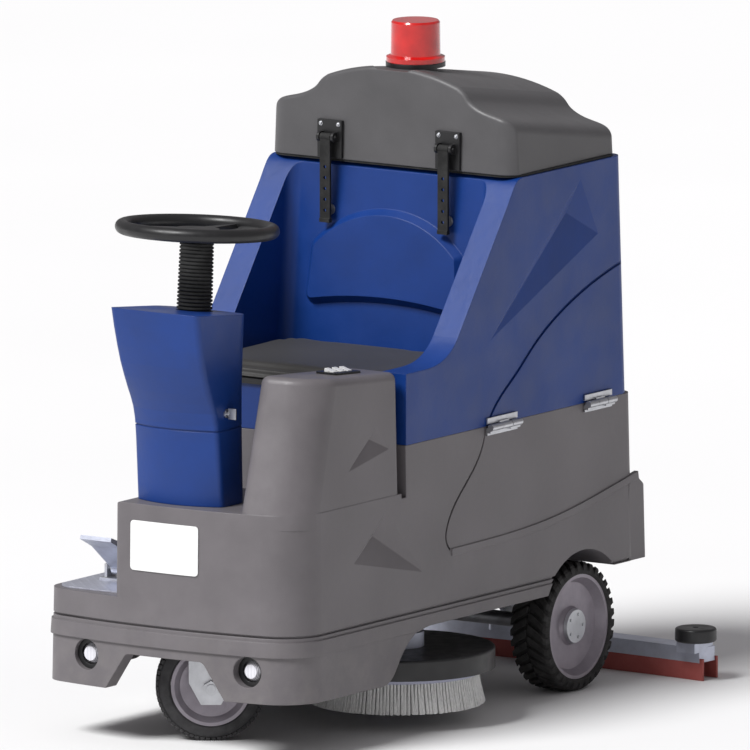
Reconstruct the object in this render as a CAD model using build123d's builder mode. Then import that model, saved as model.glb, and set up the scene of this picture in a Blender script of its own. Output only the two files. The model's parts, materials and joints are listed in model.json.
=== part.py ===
from build123d import *

import os
from math import cos, radians, sin, tan

os.makedirs("parts", exist_ok=True)

# A ride-on floor scrubber-dryer. It stands on the floor (Z 0), its front faces -Y and +X is the driver's
# left. The origin is on the floor under the middle of the machine's plan.

# ---------------------------------------------------------------- overall sizes
front_y = -626.7  # the front corners of the body
body_length = 1215.0  # front corners to the body's upper rear face
heel_length = 1255.0  # front corners to the rear face of the heel
body_half = 306.0  # half the body's width at its foot
nose_crown = 32.0  # how far the middle of the nose stands forward of its corners
skirt_z = 112.0  # foot of the front skirt
sill_z = 213.0  # foot of the side rails
heel_z = 242.0  # foot of the body behind the rear wheels
body_top_z = 584.0  # parting line of the body and the recovery tank
body_draft = 0.9  # degrees of mould draft

# ---------------------------------------------------------------- working clearances
seat_gap = 0.5  # gap between covers that rest on each other
slip = 0.3  # gap between curved faces of neighbouring pieces
bearing_gap = 0.05  # radial running clearance of shafts

# ---------------------------------------------------------------- body
nose_radius_left = 95.0
nose_radius_right = 50.0
heel_radius = 30.0
platform_z = 298.0  # moulded floor of the footwell
platform_rear_y = front_y + 386.0
console_x = (-122.0, 165.0)  # the block that carries the steering column
console_top_z = 490.0
console_rear_y = front_y + 250.0
pod_x = 165.0  # inner face of the switch pod
pod_rear_y = front_y + 370.0
pod_top_z = 742.0
pod_skew = 21.0  # the pod's inner edge stands this much forward, along the crowned nose
pod_lean = 70.0  # how far the pod's face leans back above the console
floor_z = 250.0  # floor of the battery bay
bay_half = 286.0
bay_front_y = front_y + 400.0
bay_rear_y = front_y + 1195.0
arch_inner_x = 196.0
groove = 5.0
groove_z = 244.0
band_z = (206.0, 236.0)
band_proud = 5.0

# ---------------------------------------------------------------- wheels
rear_wheel_y = front_y + 1018.0
rear_wheel_r = 131.0
rear_wheel_x = (208.0, 297.0)
arch_gap = 26.0
arch_r = rear_wheel_r + arch_gap
front_wheel_y = front_y + 138.0
front_wheel_r = 110.0
front_wheel_width = 62.0
steer_rest = 56.0  # degrees the front wheel is turned to the left as it stands
wheel_bay_r = 150.0
wheel_bay_top_z = 284.0
mouth_half = (92.0, 147.0)  # half widths of the opening in the nose, at its top and foot
mouth_top_z = 186.0
headlight_x = 193.0
headlight_z = 174.0
headlight_r = 31.0
headlight_floor_y = 6.0
column_bore_r = 34.0
bearing_r = 28.0
bearing_length = 30.0
column_foot_back = 88.0  # the column's foot stands this much forward of the steered wheel's axis

# ---------------------------------------------------------------- suction
hose_bore_r = 19.0
hose_port_x = -150.0
hose_port_z = 960.0

# ---------------------------------------------------------------- key switch, on the column cover's left
key_x = 93.0
key_y = front_y + 45.0
key_z = 677.0
key_barrel_r = 9.0

# ---------------------------------------------------------------- brush deck
brush_x = 182.0
brush_y = front_y + 530.0
deck_r = 196.0


def body_slab(foot_z, height, grow, taper):
    """A slab of the body's plan: crowned nose, rounded corners, straight sides and a flat rear."""
    half = body_half + grow
    front = front_y - grow
    rear = front_y + body_length + grow
    with BuildPart() as slab:
        with BuildSketch(Plane.XY.offset(foot_z)):
            with BuildLine():
                ThreePointArc((-half, front), (0, front - nose_crown), (half, front))
                Polyline((half, front), (half, rear), (-half, rear), (-half, front))
            make_face()
        extrude(amount=height, taper=taper)
        corners = slab.edges().filter_by(lambda e: abs(e.center().X) > half - 20)
        corners = corners.filter_by(lambda e: abs((e @ 1 - e @ 0).Z) > height * 0.9)
        nose = corners.filter_by(lambda e: e.center().Y < 0)
        fillet(corners.filter_by(lambda e: e.center().Y > 0), max(heel_radius + grow, 4))
        fillet(nose.sort_by(Axis.X)[-1], nose_radius_left + grow)
        nose = slab.edges().filter_by(lambda e: e.center().X < 20 - half and e.center().Y < 0)
        nose = nose.filter_by(lambda e: abs((e @ 1 - e @ 0).Z) > height * 0.9)
        fillet(nose, nose_radius_right + grow)
    return slab.part


def side_line(points, tangents=None):
    """A smooth curve on a side of the machine, through (Y, Z) points measured from the front corners."""
    return Spline([(front_y + y, z) for y, z in points], tangents=tangents)


def side_triangle(points, low_point, side_x, depth):
    """A three-sided dent with its deepest point at low_point, cut inwards from the face at side_x."""
    corners = [(front_y + y, z) for y, z in points]
    low = (front_y + low_point[0], low_point[1])
    near_low = [(low[0] + 0.02 * (y - low[0]), low[1] + 0.02 * (z - low[1])) for y, z in corners]
    outer = [(low[0] + 1.2 * (y - low[0]), low[1] + 1.2 * (z - low[1])) for y, z in corners]
    with BuildPart() as dent:
        for offset_x, outline in ((side_x - depth, near_low), (side_x + 0.2 * depth, outer)):
            with BuildSketch(Plane.YZ.offset(offset_x)):
                with BuildLine():
                    Polyline(outline, close=True)
                make_face()
        loft(ruled=True)
    return dent.part


outer_body = body_slab(skirt_z, body_top_z - skirt_z, 0, body_draft)
bumper_band = body_slab(band_z[0], band_z[1] - band_z[0], band_proud - 2, 3)
groove_outside = body_slab(groove_z, groove, 20, 0)
groove_inside = body_slab(groove_z - 1, groove + 2, -groove - 2, 0)
nose_cavity = body_slab(skirt_z - 40, floor_z - 10 - skirt_z + 40, -36, 0)
upper_pod_dent = side_triangle([(290, 639), (333, 584), (183, 558)], (272, 613), body_half - 8, 15)
lower_pod_dent = side_triangle([(315, 463), (437, 326), (197, 372)], (290, 414), body_half - 4, 18)

# The switch pod, on the driver's left: its face leans back above the console.
with BuildPart() as pod:
    pod_sections = [
        (console_top_z - 30, front_y + 4, body_half - 5.9),
        (console_top_z, front_y + 5, body_half - 6.5),
        (pod_top_z + 30, front_y + 5 + pod_lean * 1.12, body_half - 13),
    ]
    for section_z, section_front, section_side in pod_sections:
        with BuildSketch(Plane.XY.offset(section_z)) as pod_section:
            with BuildLine():
                Polyline(
                    (pod_x, section_front - pod_skew),
                    (section_side, section_front),
                    (section_side, pod_rear_y),
                    (pod_x, pod_rear_y),
                    close=True,
                )
            make_face()
            pod_corners = pod_section.vertices().sort_by(Axis.Y)
            fillet(pod_corners[-2:], 20)
            pod_fronts = pod_section.vertices().sort_by(Axis.Y)[:2].sort_by(Axis.X)
            fillet(pod_fronts[0], 24)
            fillet(pod_section.vertices().filter_by(lambda v: v.X > section_side - 1).sort_by(Axis.Y)[0], 88)
    loft(ruled=True)
    # The top falls slightly towards the rear.
    split(bisect_by=Plane((0, front_y + 95, pod_top_z + 12), z_dir=(0, 0.075, 1)), keep=Keep.BOTTOM)
    fillet(pod.faces().sort_by(Axis.Z)[-1].edges(), 16)

with BuildPart() as lower_body:
    add(outer_body)
    add(bumper_band)
    add(groove_outside - groove_inside, mode=Mode.SUBTRACT)
    # Open footwell on the right and behind the console, and the console's top.
    well_z = (platform_z + 700) / 2
    with Locations((-300, (front_y - 100 + platform_rear_y) / 2, well_z)):
        Box(
            2 * (300 + console_x[0]),
            platform_rear_y - front_y + 100,
            700 - platform_z,
            mode=Mode.SUBTRACT,
        )
    with Locations(((console_x[0] + pod_x) / 2, (console_rear_y + platform_rear_y) / 2, well_z)):
        Box(pod_x - console_x[0] + 1, platform_rear_y - console_rear_y, 700 - platform_z, mode=Mode.SUBTRACT)
    with Locations((console_x[0] - 1, front_y - 100, console_top_z)):
        Box(600, platform_rear_y - front_y + 100, 200, align=Align.MIN, mode=Mode.SUBTRACT)
    # Behind the pod the body steps up to the parting line.
    with Locations((pod_x, pod_rear_y, console_top_z - 10)):
        Box(200, platform_rear_y - pod_rear_y + 1, 200, align=Align.MIN, mode=Mode.SUBTRACT)
    console_rims = lower_body.edges().filter_by(
        lambda e: platform_z + 60 < e.center().Z < console_top_z + 1 and abs(e.center().X - console_x[0]) < 1
    )
    fillet(console_rims, 14)
    # The heel: the body steps out below a slanting shoulder at the rear.
    with BuildSketch(Plane.YZ.offset(-(body_half - 4))):
        with BuildLine():
            Polyline(
                (front_y + body_length - 30, heel_z),
                (front_y + heel_length, heel_z),
                (front_y + heel_length - 6, 384),
                (front_y + body_length - 5, 414),
                (front_y + body_length - 30, 414),
                close=True,
            )
        make_face()
    extrude(amount=2 * (body_half - 4))
    heel_edges = lower_body.edges().filter_by(
        lambda e: e.center().Y > front_y + heel_length - 9 and heel_z < e.center().Z < 400
    )
    fillet(heel_edges, 16)
    add(pod.part)
    # Hollow nose and skirts, open underneath.
    add(nose_cavity, mode=Mode.SUBTRACT)
    with Locations((0, (front_y + 130 + front_y + heel_length - 14) / 2, floor_z - 10 - 100)):
        Box(2 * (body_half - 14), heel_length - 144, 200, mode=Mode.SUBTRACT)
    # The foot line: it rises behind the skirt to the side rails and again behind the rear wheels.
    with BuildSketch(Plane.YZ.offset(-400)):
        with BuildLine():
            side_line([(300, skirt_z), (352, 150), (470, sill_z)], tangents=[(1, 0.1), (1, 0)])
            Polyline(
                (front_y + 470, sill_z),
                (rear_wheel_y, sill_z),
                (rear_wheel_y, heel_z),
                (front_y + heel_length + 50, heel_z),
                (front_y + heel_length + 50, skirt_z - 50),
                (front_y + 300, skirt_z - 50),
                (front_y + 300, skirt_z),
            )
        make_face()
    extrude(amount=800, mode=Mode.SUBTRACT)
    # Wheel arches, the bay that the front wheel turns in and its mouth in the nose.
    for side in (-1, 1):
        with BuildSketch(Plane.YZ.offset(side * arch_inner_x)):
            with Locations((rear_wheel_y, rear_wheel_r)):
                Circle(arch_r)
        extrude(amount=side * 150, mode=Mode.SUBTRACT)
    with Locations((0, front_wheel_y, 190)):
        Cylinder(wheel_bay_r, 2 * (wheel_bay_top_z - 190), mode=Mode.SUBTRACT)
    with BuildSketch(Plane.XZ.offset(-(front_y + 60))) as mouth:
        with BuildLine():
            Polyline(
                (-mouth_half[0], mouth_top_z), (mouth_half[0], mouth_top_z),
                (mouth_half[1], skirt_z - 6), (-mouth_half[1], skirt_z - 6),
                close=True,
            )
        make_face()
        fillet(mouth.vertices().sort_by(Axis.Y)[-2:], 16)
    extrude(amount=120, mode=Mode.SUBTRACT)
    # The battery bay, open under the recovery tank, narrower between the wheel arches.
    with Locations((0, bay_front_y, floor_z + 4)):
        Box(
            2 * bay_half, rear_wheel_y - arch_r - 14 - bay_front_y, 500,
            align=(Align.CENTER, Align.MIN, Align.MIN), mode=Mode.SUBTRACT,
        )
    with Locations((0, bay_front_y, floor_z + 4)):
        Box(
            2 * (arch_inner_x - 12), bay_rear_y - bay_front_y, 500,
            align=(Align.CENTER, Align.MIN, Align.MIN), mode=Mode.SUBTRACT,
        )
    with Locations((0, bay_rear_y, 300)):
        Box(
            2 * bay_half, bay_rear_y - bay_front_y, 500,
            align=(Align.CENTER, Align.MAX, Align.MIN), mode=Mode.SUBTRACT,
        )
    # The bores of the steering bearing and column, the pod's hollow, the headlight pockets, the dents.
    with Locations((0, front_wheel_y, wheel_bay_top_z - 2)):
        Cylinder(
            bearing_r + slip, bearing_length + 12,
            align=(Align.CENTER, Align.CENTER, Align.MIN), mode=Mode.SUBTRACT,
        )
    with Locations((0, front_wheel_y - column_foot_back, 400)):
        Cylinder(column_bore_r, 300, mode=Mode.SUBTRACT)
    with Locations((pod_x + 10, front_y + 70, floor_z - 20)):
        Box(84, pod_rear_y - front_y - 82, 430, align=Align.MIN, mode=Mode.SUBTRACT)
    for side in (-1, 1):
        with BuildSketch(Plane.XZ.offset(-(front_y + headlight_floor_y))):
            with Locations((side * headlight_x, headlight_z)):
                Circle(headlight_r)
        extrude(amount=100, mode=Mode.SUBTRACT)
    add(upper_pod_dent, mode=Mode.SUBTRACT)
    add(lower_pod_dent, mode=Mode.SUBTRACT)
    # Moulded seam lines down each side, and the raised line that sweeps back over the wheel.
    for side in (-1, 1):
        with BuildSketch(Plane.YZ.offset(side * (body_half - 11))):
            with BuildLine():
                side_line([(545, 348), (770, 352), (890, 360), (1012, 376), (1091, 390), (1216, 414)])
            trace(line_width=15)
        extrude(amount=side * 9.5)
        with BuildSketch(Plane.YZ.offset(side * (body_half - 9))):
            with BuildLine():
                side_line([(672, body_top_z + 4), (612, 490), (533, 406), (526, 385), (540, 354)])
            trace(line_width=groove)
        extrude(amount=side * 40, mode=Mode.SUBTRACT)

lower_body.part.label = "lower_body"
export_step(lower_body.part, "parts/lower_body.step")

# ---------------------------------------------------------------- recovery tank
tank_half = 299.0
tank_foot_z = body_top_z + seat_gap
tank_top_z = 1070.0
tank_front_y = front_y + 388.0
tank_rear_y = front_y + 1194.0
tank_lean = 24.0  # the rear face leans forward this much over the tank's height
seat_half = 240.0  # half the width between the side walls
seat_z = 676.0  # moulded shelf under the seat
back_y = front_y + 748.0  # foot of the seat back
back_lean = 34.0
tank_seam = [(1200, 862), (1077, 832), (948, 784), (844, 725), (784, 679), (698, 613), (676, 580)]
pad_z = 868.0
pad_proud = 17.0

tank_top_dent = side_triangle([(1012, 1040), (1076, 922), (688, 756)], (984, 974), tank_half, 16)
tank_top_boss = side_triangle([(1012, 1040), (1076, 922), (688, 756)], (984, 974), tank_half - 6, 20)

with BuildPart() as recovery_tank:
    # Side outline: low arm rests in front, rising in an S to the full height.
    with BuildSketch(Plane.YZ.offset(-tank_half)):
        with BuildLine():
            Line((tank_front_y, tank_foot_z), (tank_rear_y, tank_foot_z))
            Line((tank_rear_y, tank_foot_z), (tank_rear_y - tank_lean, tank_top_z))
            Line((tank_rear_y - tank_lean, tank_top_z), (front_y + 806, tank_top_z))
            side_line([(806, tank_top_z), (768, 1046), (752, 1022)], tangents=[(-1, 0), (-0.5, -0.8)])
            Line((front_y + 752, 1022), (front_y + 572, 776))
            side_line([(572, 776), (520, 738), (430, 728)], tangents=[(-0.6, -0.8), (-1, 0)])
            Line((front_y + 430, 728), (tank_front_y, 728))
            Line((tank_front_y, 728), (tank_front_y, tank_foot_z))
        make_face()
    extrude(amount=2 * tank_half)
    tank_corners = recovery_tank.edges().filter_by(
        lambda e: abs((e @ 1 - e @ 0).Z) > 400 and abs(e.center().X) > tank_half - 1
    )
    fillet(tank_corners, heel_radius)
    # The seat well between the arm rests, with a leaning back.
    with BuildSketch(Plane.YZ.offset(-seat_half)):
        with BuildLine():
            Polyline(
                (tank_front_y - 20, seat_z),
                (back_y, seat_z),
                (back_y + back_lean, tank_top_z + 10),
                (tank_front_y - 20, tank_top_z + 10),
                close=True,
            )
        make_face()
    extrude(amount=2 * seat_half, mode=Mode.SUBTRACT)
    well_corners = recovery_tank.edges().filter_by(
        lambda e: abs(abs(e.center().X) - seat_half) < 1 and abs((e @ 1 - e @ 0).Z) > 300
    )
    fillet(well_corners.filter_by(lambda e: e.center().Y > back_y), 26)
    # The arched pad moulded proud of the back.
    back_slope = back_lean / (tank_top_z - seat_z)
    pad_origin = (0, back_y + back_slope * (pad_z - seat_z) + 2, pad_z)
    with BuildSketch(Plane(pad_origin, x_dir=(1, 0, 0), z_dir=(0, -1, back_slope))):
        with BuildLine():
            ThreePointArc((-196, -96), (0, -76), (196, -96))
            Line((196, -96), (184, 36))
            ThreePointArc((184, 36), (0, 118), (-184, 36))
            Line((-184, 36), (-196, -96))
        make_face()
        fillet(vertices(), 24)
    extrude(amount=pad_proud + 2, taper=38)
    # The tank's hollow, open under the lid, and the hollow below the seat.
    with BuildSketch(Plane.XY.offset(tank_foot_z + 14)):
        with Locations((0, (back_y + back_lean + 12 + tank_rear_y - tank_lean - 10) / 2)):
            RectangleRounded(2 * tank_half - 20, tank_rear_y - tank_lean - back_y - back_lean - 22, 22)
    extrude(amount=tank_top_z - tank_foot_z, mode=Mode.SUBTRACT)
    with Locations((0, tank_front_y + 10, tank_foot_z)):
        Box(
            2 * tank_half - 24, back_y - tank_front_y - 20, 2 * (seat_z - 8 - tank_foot_z),
            align=(Align.CENTER, Align.MIN, Align.CENTER), mode=Mode.SUBTRACT,
        )
    # Side dents, with the wall thickened behind them, and the seam line that sweeps down to the body's.
    add(tank_top_boss)
    add(mirror(tank_top_boss, about=Plane.YZ, mode=Mode.PRIVATE))
    add(tank_top_dent, mode=Mode.SUBTRACT)
    add(mirror(tank_top_dent, about=Plane.YZ, mode=Mode.PRIVATE), mode=Mode.SUBTRACT)
    for side in (-1, 1):
        with BuildSketch(Plane.YZ.offset(side * (tank_half - 4))):
            with BuildLine():
                side_line(tank_seam)
            trace(line_width=groove + 2)
        extrude(amount=side * 40, mode=Mode.SUBTRACT)
    # Drain neck's bore through the rear wall.
    with BuildSketch(Plane.XZ.offset(-(tank_rear_y + 10))):
        with Locations((hose_port_x, hose_port_z)):
            Circle(hose_bore_r + 4)
    extrude(amount=60, mode=Mode.SUBTRACT)

recovery_tank.part.label = "recovery_tank"
export_step(recovery_tank.part, "parts/recovery_tank.step")

# A spigot in the tank's rear wall takes the squeegee's suction hose.
with BuildPart() as hose_port:
    with BuildSketch(Plane.XZ.offset(-(tank_rear_y + 34))):
        with Locations((hose_port_x, hose_port_z)):
            Circle(hose_bore_r + 3.7)
            Circle(hose_bore_r, mode=Mode.SUBTRACT)
    extrude(amount=62)
    with BuildSketch(Plane.XZ.offset(-(tank_rear_y + 6))):
        with Locations((hose_port_x, hose_port_z)):
            Circle(hose_bore_r + 14)
            Circle(hose_bore_r, mode=Mode.SUBTRACT)
    extrude(amount=5.8)

hose_port.part.label = "hose_port"
export_step(hose_port.part, "parts/hose_port.step")

# Seat: a moulded base panel and the cushion on it.
with BuildPart() as seat_base:
    with BuildSketch(Plane.XY.offset(seat_z + 0.2)):
        with Locations((0, (tank_front_y - 6 + back_y - 4) / 2)):
            RectangleRounded(2 * seat_half - 10, back_y - tank_front_y + 2, 24)
    extrude(amount=10)

seat_base.part.label = "seat_base"
export_step(seat_base.part, "parts/seat_base.step")

with BuildPart() as seat_cushion:
    with BuildSketch(Plane.XY.offset(seat_z + 10.5)):
        with Locations((0, (tank_front_y - 4 + back_y - 8) / 2)):
            RectangleRounded(2 * seat_half - 16, back_y - tank_front_y - 4, 30)
    extrude(amount=27)
    fillet(seat_cushion.faces().sort_by(Axis.Z)[-1].edges(), 9)

seat_cushion.part.label = "seat_cushion"
export_step(seat_cushion.part, "parts/seat_cushion.step")

# Suction motor under the seat shelf, with its fan housing.
with BuildPart() as vacuum_motor:
    with Locations((-120, front_y + 560, seat_z - 8.5)):
        Cylinder(70, 34, align=(Align.CENTER, Align.CENTER, Align.MAX))
        Cylinder(44, 66, align=(Align.CENTER, Align.CENTER, Align.MAX))

vacuum_motor.part.label = "vacuum_motor"
export_step(vacuum_motor.part, "parts/vacuum_motor.step")

# ---------------------------------------------------------------- tank lid
lid_half = 298.0
lid_front_y = front_y + 774.0
lid_rear_y = front_y + 1160.0
lid_foot_z = tank_top_z + 5.0
lid_fall = 9.0  # degrees the lid's top falls towards the rear
beacon_y = front_y + 866.0
beacon_seat_z = lid_foot_z + 188.0

with BuildPart() as tank_lid:
    # A crowned, stepped front profile run back along the falling top.
    falling = Plane((0, lid_front_y, lid_foot_z), x_dir=(1, 0, 0), z_dir=(0, -1, tan(radians(lid_fall))))
    with BuildSketch(falling):
        with BuildLine():
            Line((-lid_half - 2, -120), (lid_half + 2, -120))
            Line((lid_half + 2, -120), (lid_half - 8, 86))
            side_top = [(lid_half - 8, 86), (lid_half - 34, 114), (218, 126), (186, 143), (158, 168)]
            Spline(side_top, tangents=[(-0.05, 1), (-0.9, 0.5)])
            ThreePointArc((158, 168), (0, 196), (-158, 168))
            Spline([(-x, z) for x, z in side_top], tangents=[(0.05, 1), (0.9, 0.5)])
            Line((-lid_half + 8, 86), (-lid_half - 2, -120))
        make_face()
    extrude(amount=600, both=True)
    # Cut to the lid's plan, with drafted sides.
    with BuildSketch(Plane.XY.offset(lid_foot_z)):
        with Locations((0, (lid_front_y + lid_rear_y) / 2)):
            RectangleRounded(2 * lid_half, lid_rear_y - lid_front_y, 42)
    extrude(amount=320, taper=2, mode=Mode.INTERSECT)
    lid_front_rims = tank_lid.edges().filter_by(
        lambda e: e.center().Z > lid_foot_z + 60 and e.center().Y < lid_front_y + 14
        and abs((e @ 1 - e @ 0).X) > 20
    )
    fillet(lid_front_rims, 10)
    lid_rear_rims = tank_lid.edges().filter_by(
        lambda e: e.center().Z > lid_foot_z + 40 and e.center().Y > lid_rear_y - 14
        and abs((e @ 1 - e @ 0).X) > 20
    )
    fillet(lid_rear_rims, 22)
    # The flat seat of the beacon and the hollow underside.
    with Locations((0, beacon_y, beacon_seat_z)):
        Cylinder(92, 60, align=(Align.CENTER, Align.CENTER, Align.MIN), mode=Mode.SUBTRACT)
    with BuildSketch(Plane.XY.offset(lid_foot_z - 1)):
        with Locations((0, (lid_front_y + lid_rear_y) / 2)):
            RectangleRounded(2 * lid_half - 24, lid_rear_y - lid_front_y - 24, 34)
    extrude(amount=48, taper=4, mode=Mode.SUBTRACT)
    with BuildSketch(Plane.XY.offset(lid_foot_z)):
        with Locations((0, (lid_front_y + lid_rear_y) / 2 - 20)):
            RectangleRounded(300, lid_rear_y - lid_front_y - 110, 40)
    extrude(amount=120, taper=12, mode=Mode.SUBTRACT)

tank_lid.part.label = "tank_lid"
export_step(tank_lid.part, "parts/tank_lid.step")

with BuildPart() as lid_gasket:
    with BuildSketch(Plane.XY.offset(tank_top_z + 0.3)):
        with Locations((0, (lid_front_y + lid_rear_y) / 2)):
            RectangleRounded(2 * lid_half - 4, lid_rear_y - lid_front_y - 4, 40)
            RectangleRounded(2 * lid_half - 22, lid_rear_y - lid_front_y - 22, 32, mode=Mode.SUBTRACT)
    extrude(amount=lid_foot_z - tank_top_z - 0.5)

lid_gasket.part.label = "lid_gasket"
export_step(lid_gasket.part, "parts/lid_gasket.step")

# Warning beacon: black foot, red lens.
with BuildPart() as beacon_base:
    with Locations((0, beacon_y, beacon_seat_z + 0.1)):
        Cylinder(60, 9, align=(Align.CENTER, Align.CENTER, Align.MIN))
        Cylinder(22, 34, align=(Align.CENTER, Align.CENTER, Align.MIN))

beacon_base.part.label = "beacon_base"
export_step(beacon_base.part, "parts/beacon_base.step")

with BuildPart() as beacon_lens:
    with BuildSketch(Plane.XZ.offset(-beacon_y)):
        with BuildLine():
            lens_foot = beacon_seat_z + 9.5
            Polyline(
                (0, lens_foot + 83), (46, lens_foot + 83), (49, lens_foot + 79), (50, lens_foot + 14),
                (59, lens_foot + 10), (59, lens_foot), (44, lens_foot), (44, lens_foot + 76),
                (0, lens_foot + 76),
                close=True,
            )
        make_face()
    revolve(axis=Axis((0, beacon_y, 0), (0, 0, 1)))

beacon_lens.part.label = "beacon_lens"
export_step(beacon_lens.part, "parts/beacon_lens.step")

# Latch brackets on the lid's front face, and the perforated rubber straps that hang from them.
latch_x = 142.0
latch_pin_y = lid_front_y - 16.0
latch_pin_z = 1120.0
strap_length = 168.0

with BuildPart() as latch_brackets:
    for side in (-1, 1):
        with Locations((side * latch_x, lid_front_y - 1, latch_pin_z - 5)):
            Box(58, 10, 76)
        for ear in (-1, 1):
            with BuildSketch(Plane.YZ.offset(side * latch_x + ear * 17 - 3)):
                with Locations((latch_pin_y + 1, latch_pin_z)):
                    Circle(10)
                with Locations((latch_pin_y + 8, latch_pin_z)):
                    Rectangle(14, 20)
            extrude(amount=6)
        with Locations(Location((side * latch_x, latch_pin_y, latch_pin_z), (0, 90, 0))):
            Cylinder(4, 46)
    add(tank_lid.part, mode=Mode.SUBTRACT)

latch_brackets.part.label = "latch_brackets"
export_step(latch_brackets.part, "parts/latch_brackets.step")

# Pegs on the seat back that the straps' holes hook over.
with BuildPart() as strap_pegs:
    peg_z = latch_pin_z - 60 - 22 * 4
    peg_back_y = back_y + back_slope * (peg_z - seat_z)
    for side in (-1, 1):
        with Locations(Location((side * latch_x, peg_back_y + 0.4, peg_z), (90, 0, 0))):
            Cylinder(3, peg_back_y - latch_pin_y - 1.5, align=(Align.CENTER, Align.CENTER, Align.MIN))
            Cylinder(11, 3, align=(Align.CENTER, Align.CENTER, Align.MIN))
    add(recovery_tank.part, mode=Mode.SUBTRACT)

strap_pegs.part.label = "strap_pegs"
export_step(strap_pegs.part, "parts/strap_pegs.step")

for name, side in (("latch_strap_right", -1), ("latch_strap_left", 1)):
    with BuildPart() as strap:
        with BuildSketch(Plane.YZ.offset(side * latch_x - 12)):
            with Locations((latch_pin_y, latch_pin_z)):
                Circle(8)
            with Locations((latch_pin_y - 4, latch_pin_z - strap_length / 2)):
                Rectangle(6, strap_length)
        extrude(amount=24)
        with BuildSketch(Plane.YZ.offset(side * latch_x - 12)):
            with Locations((latch_pin_y, latch_pin_z)):
                Circle(4 + bearing_gap)
        extrude(amount=24, mode=Mode.SUBTRACT)
        with Locations((side * latch_x, latch_pin_y - 4, latch_pin_z - strap_length)):
            Box(24, 10, 8)
        for hole in range(5):
            with Locations(
                Location((side * latch_x, latch_pin_y, latch_pin_z - 60 - 22 * hole), (90, 0, 0))
            ):
                Cylinder(3.5, 40, mode=Mode.SUBTRACT)
    strap.part.label = name
    export_step(strap.part, f"parts/{name}.step")

# ---------------------------------------------------------------- console and steering
column_tilt = 3.8  # degrees the column leans back
wheel_hub = (0, front_y + 91.0, 1033.0)
shaft_r = 12.0
steering_wheel_r = 150.0
bellows_r = 36.0
grip_r = 14.0
column_way = (0, sin(radians(column_tilt)), cos(radians(column_tilt)))
column_axis = Plane(wheel_hub, x_dir=(1, 0, 0), z_dir=column_way)

# Height, half width, front corners and how far the front bows past them.
cover_sections = [
    (console_top_z + 0.4, 103, 29, 26),
    (560, 101.5, 22.5, 25),
    (620, 100.5, 17, 24.4),
    (655, 100, 12.5, 23.8),
    (680, 100, 6, 22.5),
    (700, 100, -3, 21),
    (720, 100.3, -13.5, 19),
    (745, 101, -25, 16.5),
    (775, 102, -37, 14),
    (810, 103.3, -47.5, 11.5),
    (850, 105, -57, 9),
    (890, 106.5, -64.5, 7),
]
cover_rear = 130.0
cover_wall = 5.0
cover_seam_z = 642.0
cover_seam = (100.2, 14.3, 24.0)  # the outline at the seam
seam_depth = 1.6


def cover_outline(half_x, near, bow, inset):
    """The column cover's plan: a bowed front, flat cheeks and rounded rear corners."""
    x = half_x - inset
    front = front_y + near + inset
    rear = front_y + cover_rear - inset
    with BuildSketch(mode=Mode.PRIVATE) as outline:
        with BuildLine():
            ThreePointArc((-x, front), (0, front - bow), (x, front))
            Polyline((x, front), (x, rear), (-x, rear), (-x, front))
        make_face()
        fillet(outline.vertices().group_by(Axis.Y)[-1], 44 - inset)
        fillet([v for v in outline.vertices() if abs(v.Y - front) < 1], 14 - inset)
    return outline.sketch


with BuildPart() as column_cover:
    for inset, mode in ((0, Mode.ADD), (cover_wall, Mode.SUBTRACT)):
        for section_z, half_x, near, bow in cover_sections if inset == 0 else cover_sections[:-1]:
            with BuildSketch(Plane.XY.offset(section_z)):
                add(cover_outline(half_x, near, bow, inset))
        loft(ruled=True, mode=mode)
    # The top falls towards the driver, around the bellows' opening.
    split(bisect_by=Plane((0, front_y - 50, 885), z_dir=(0, 0.11, 1)), keep=Keep.BOTTOM)
    with Locations(column_axis.location):
        Cylinder(bellows_r + 1.5, 400, mode=Mode.SUBTRACT)
    with Locations(Location((key_x + 3, key_y, key_z), (0, 90, 0))):
        Cylinder(key_barrel_r, 30, mode=Mode.SUBTRACT)
    # Seam groove round the front, below the flare.
    with BuildSketch(Plane.XY.offset(cover_seam_z)):
        add(cover_outline(*cover_seam, -6))
        add(cover_outline(*cover_seam, seam_depth), mode=Mode.SUBTRACT)
    extrude(amount=3.5, mode=Mode.SUBTRACT)

column_cover.part.label = "column_cover"
export_step(column_cover.part, "parts/column_cover.step")

# Rubber bellows round the shaft, from inside the cover up to the wheel's hub.
bellows_rings = 20
bellows_inner_r = 31.0
bellows_span = (-176.0, -26.0)  # along the column, from the wheel's hub
bellows_foot_plane = column_axis.offset(bellows_span[0])
ring_pitch = (bellows_span[1] - bellows_span[0]) / bellows_rings

with BuildPart() as column_bellows:
    with BuildSketch(Plane(bellows_foot_plane.origin, x_dir=(1, 0, 0), z_dir=-bellows_foot_plane.y_dir)):
        with BuildLine():
            folds = [(bellows_inner_r, 0.0)]
            for ring in range(bellows_rings):
                outer_r = bellows_r - 0.1 * ring
                folds += [(outer_r, (ring + 0.3) * ring_pitch), (outer_r, (ring + 0.7) * ring_pitch)]
                folds += [(bellows_inner_r, (ring + 1) * ring_pitch)]
            Polyline(*folds, (shaft_r + 2, bellows_rings * ring_pitch), (shaft_r + 2, 0), close=True)
        make_face()
    revolve(axis=Axis(bellows_foot_plane.origin, bellows_foot_plane.z_dir))

column_bellows.part.label = "column_bellows"
export_step(column_bellows.part, "parts/column_bellows.step")

# Steering shaft with its chain sprocket, and the wheel on top.
shaft_length = 772.0
sprocket_z = 268.0
with BuildPart() as steering_shaft:
    with Locations(column_axis.offset(-shaft_length).location):
        Cylinder(shaft_r, shaft_length - 22, align=(Align.CENTER, Align.CENTER, Align.MIN))
        Cylinder(20, 8, align=(Align.CENTER, Align.CENTER, Align.MIN))

steering_shaft.part.label = "steering_shaft"
export_step(steering_shaft.part, "parts/steering_shaft.step")

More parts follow.
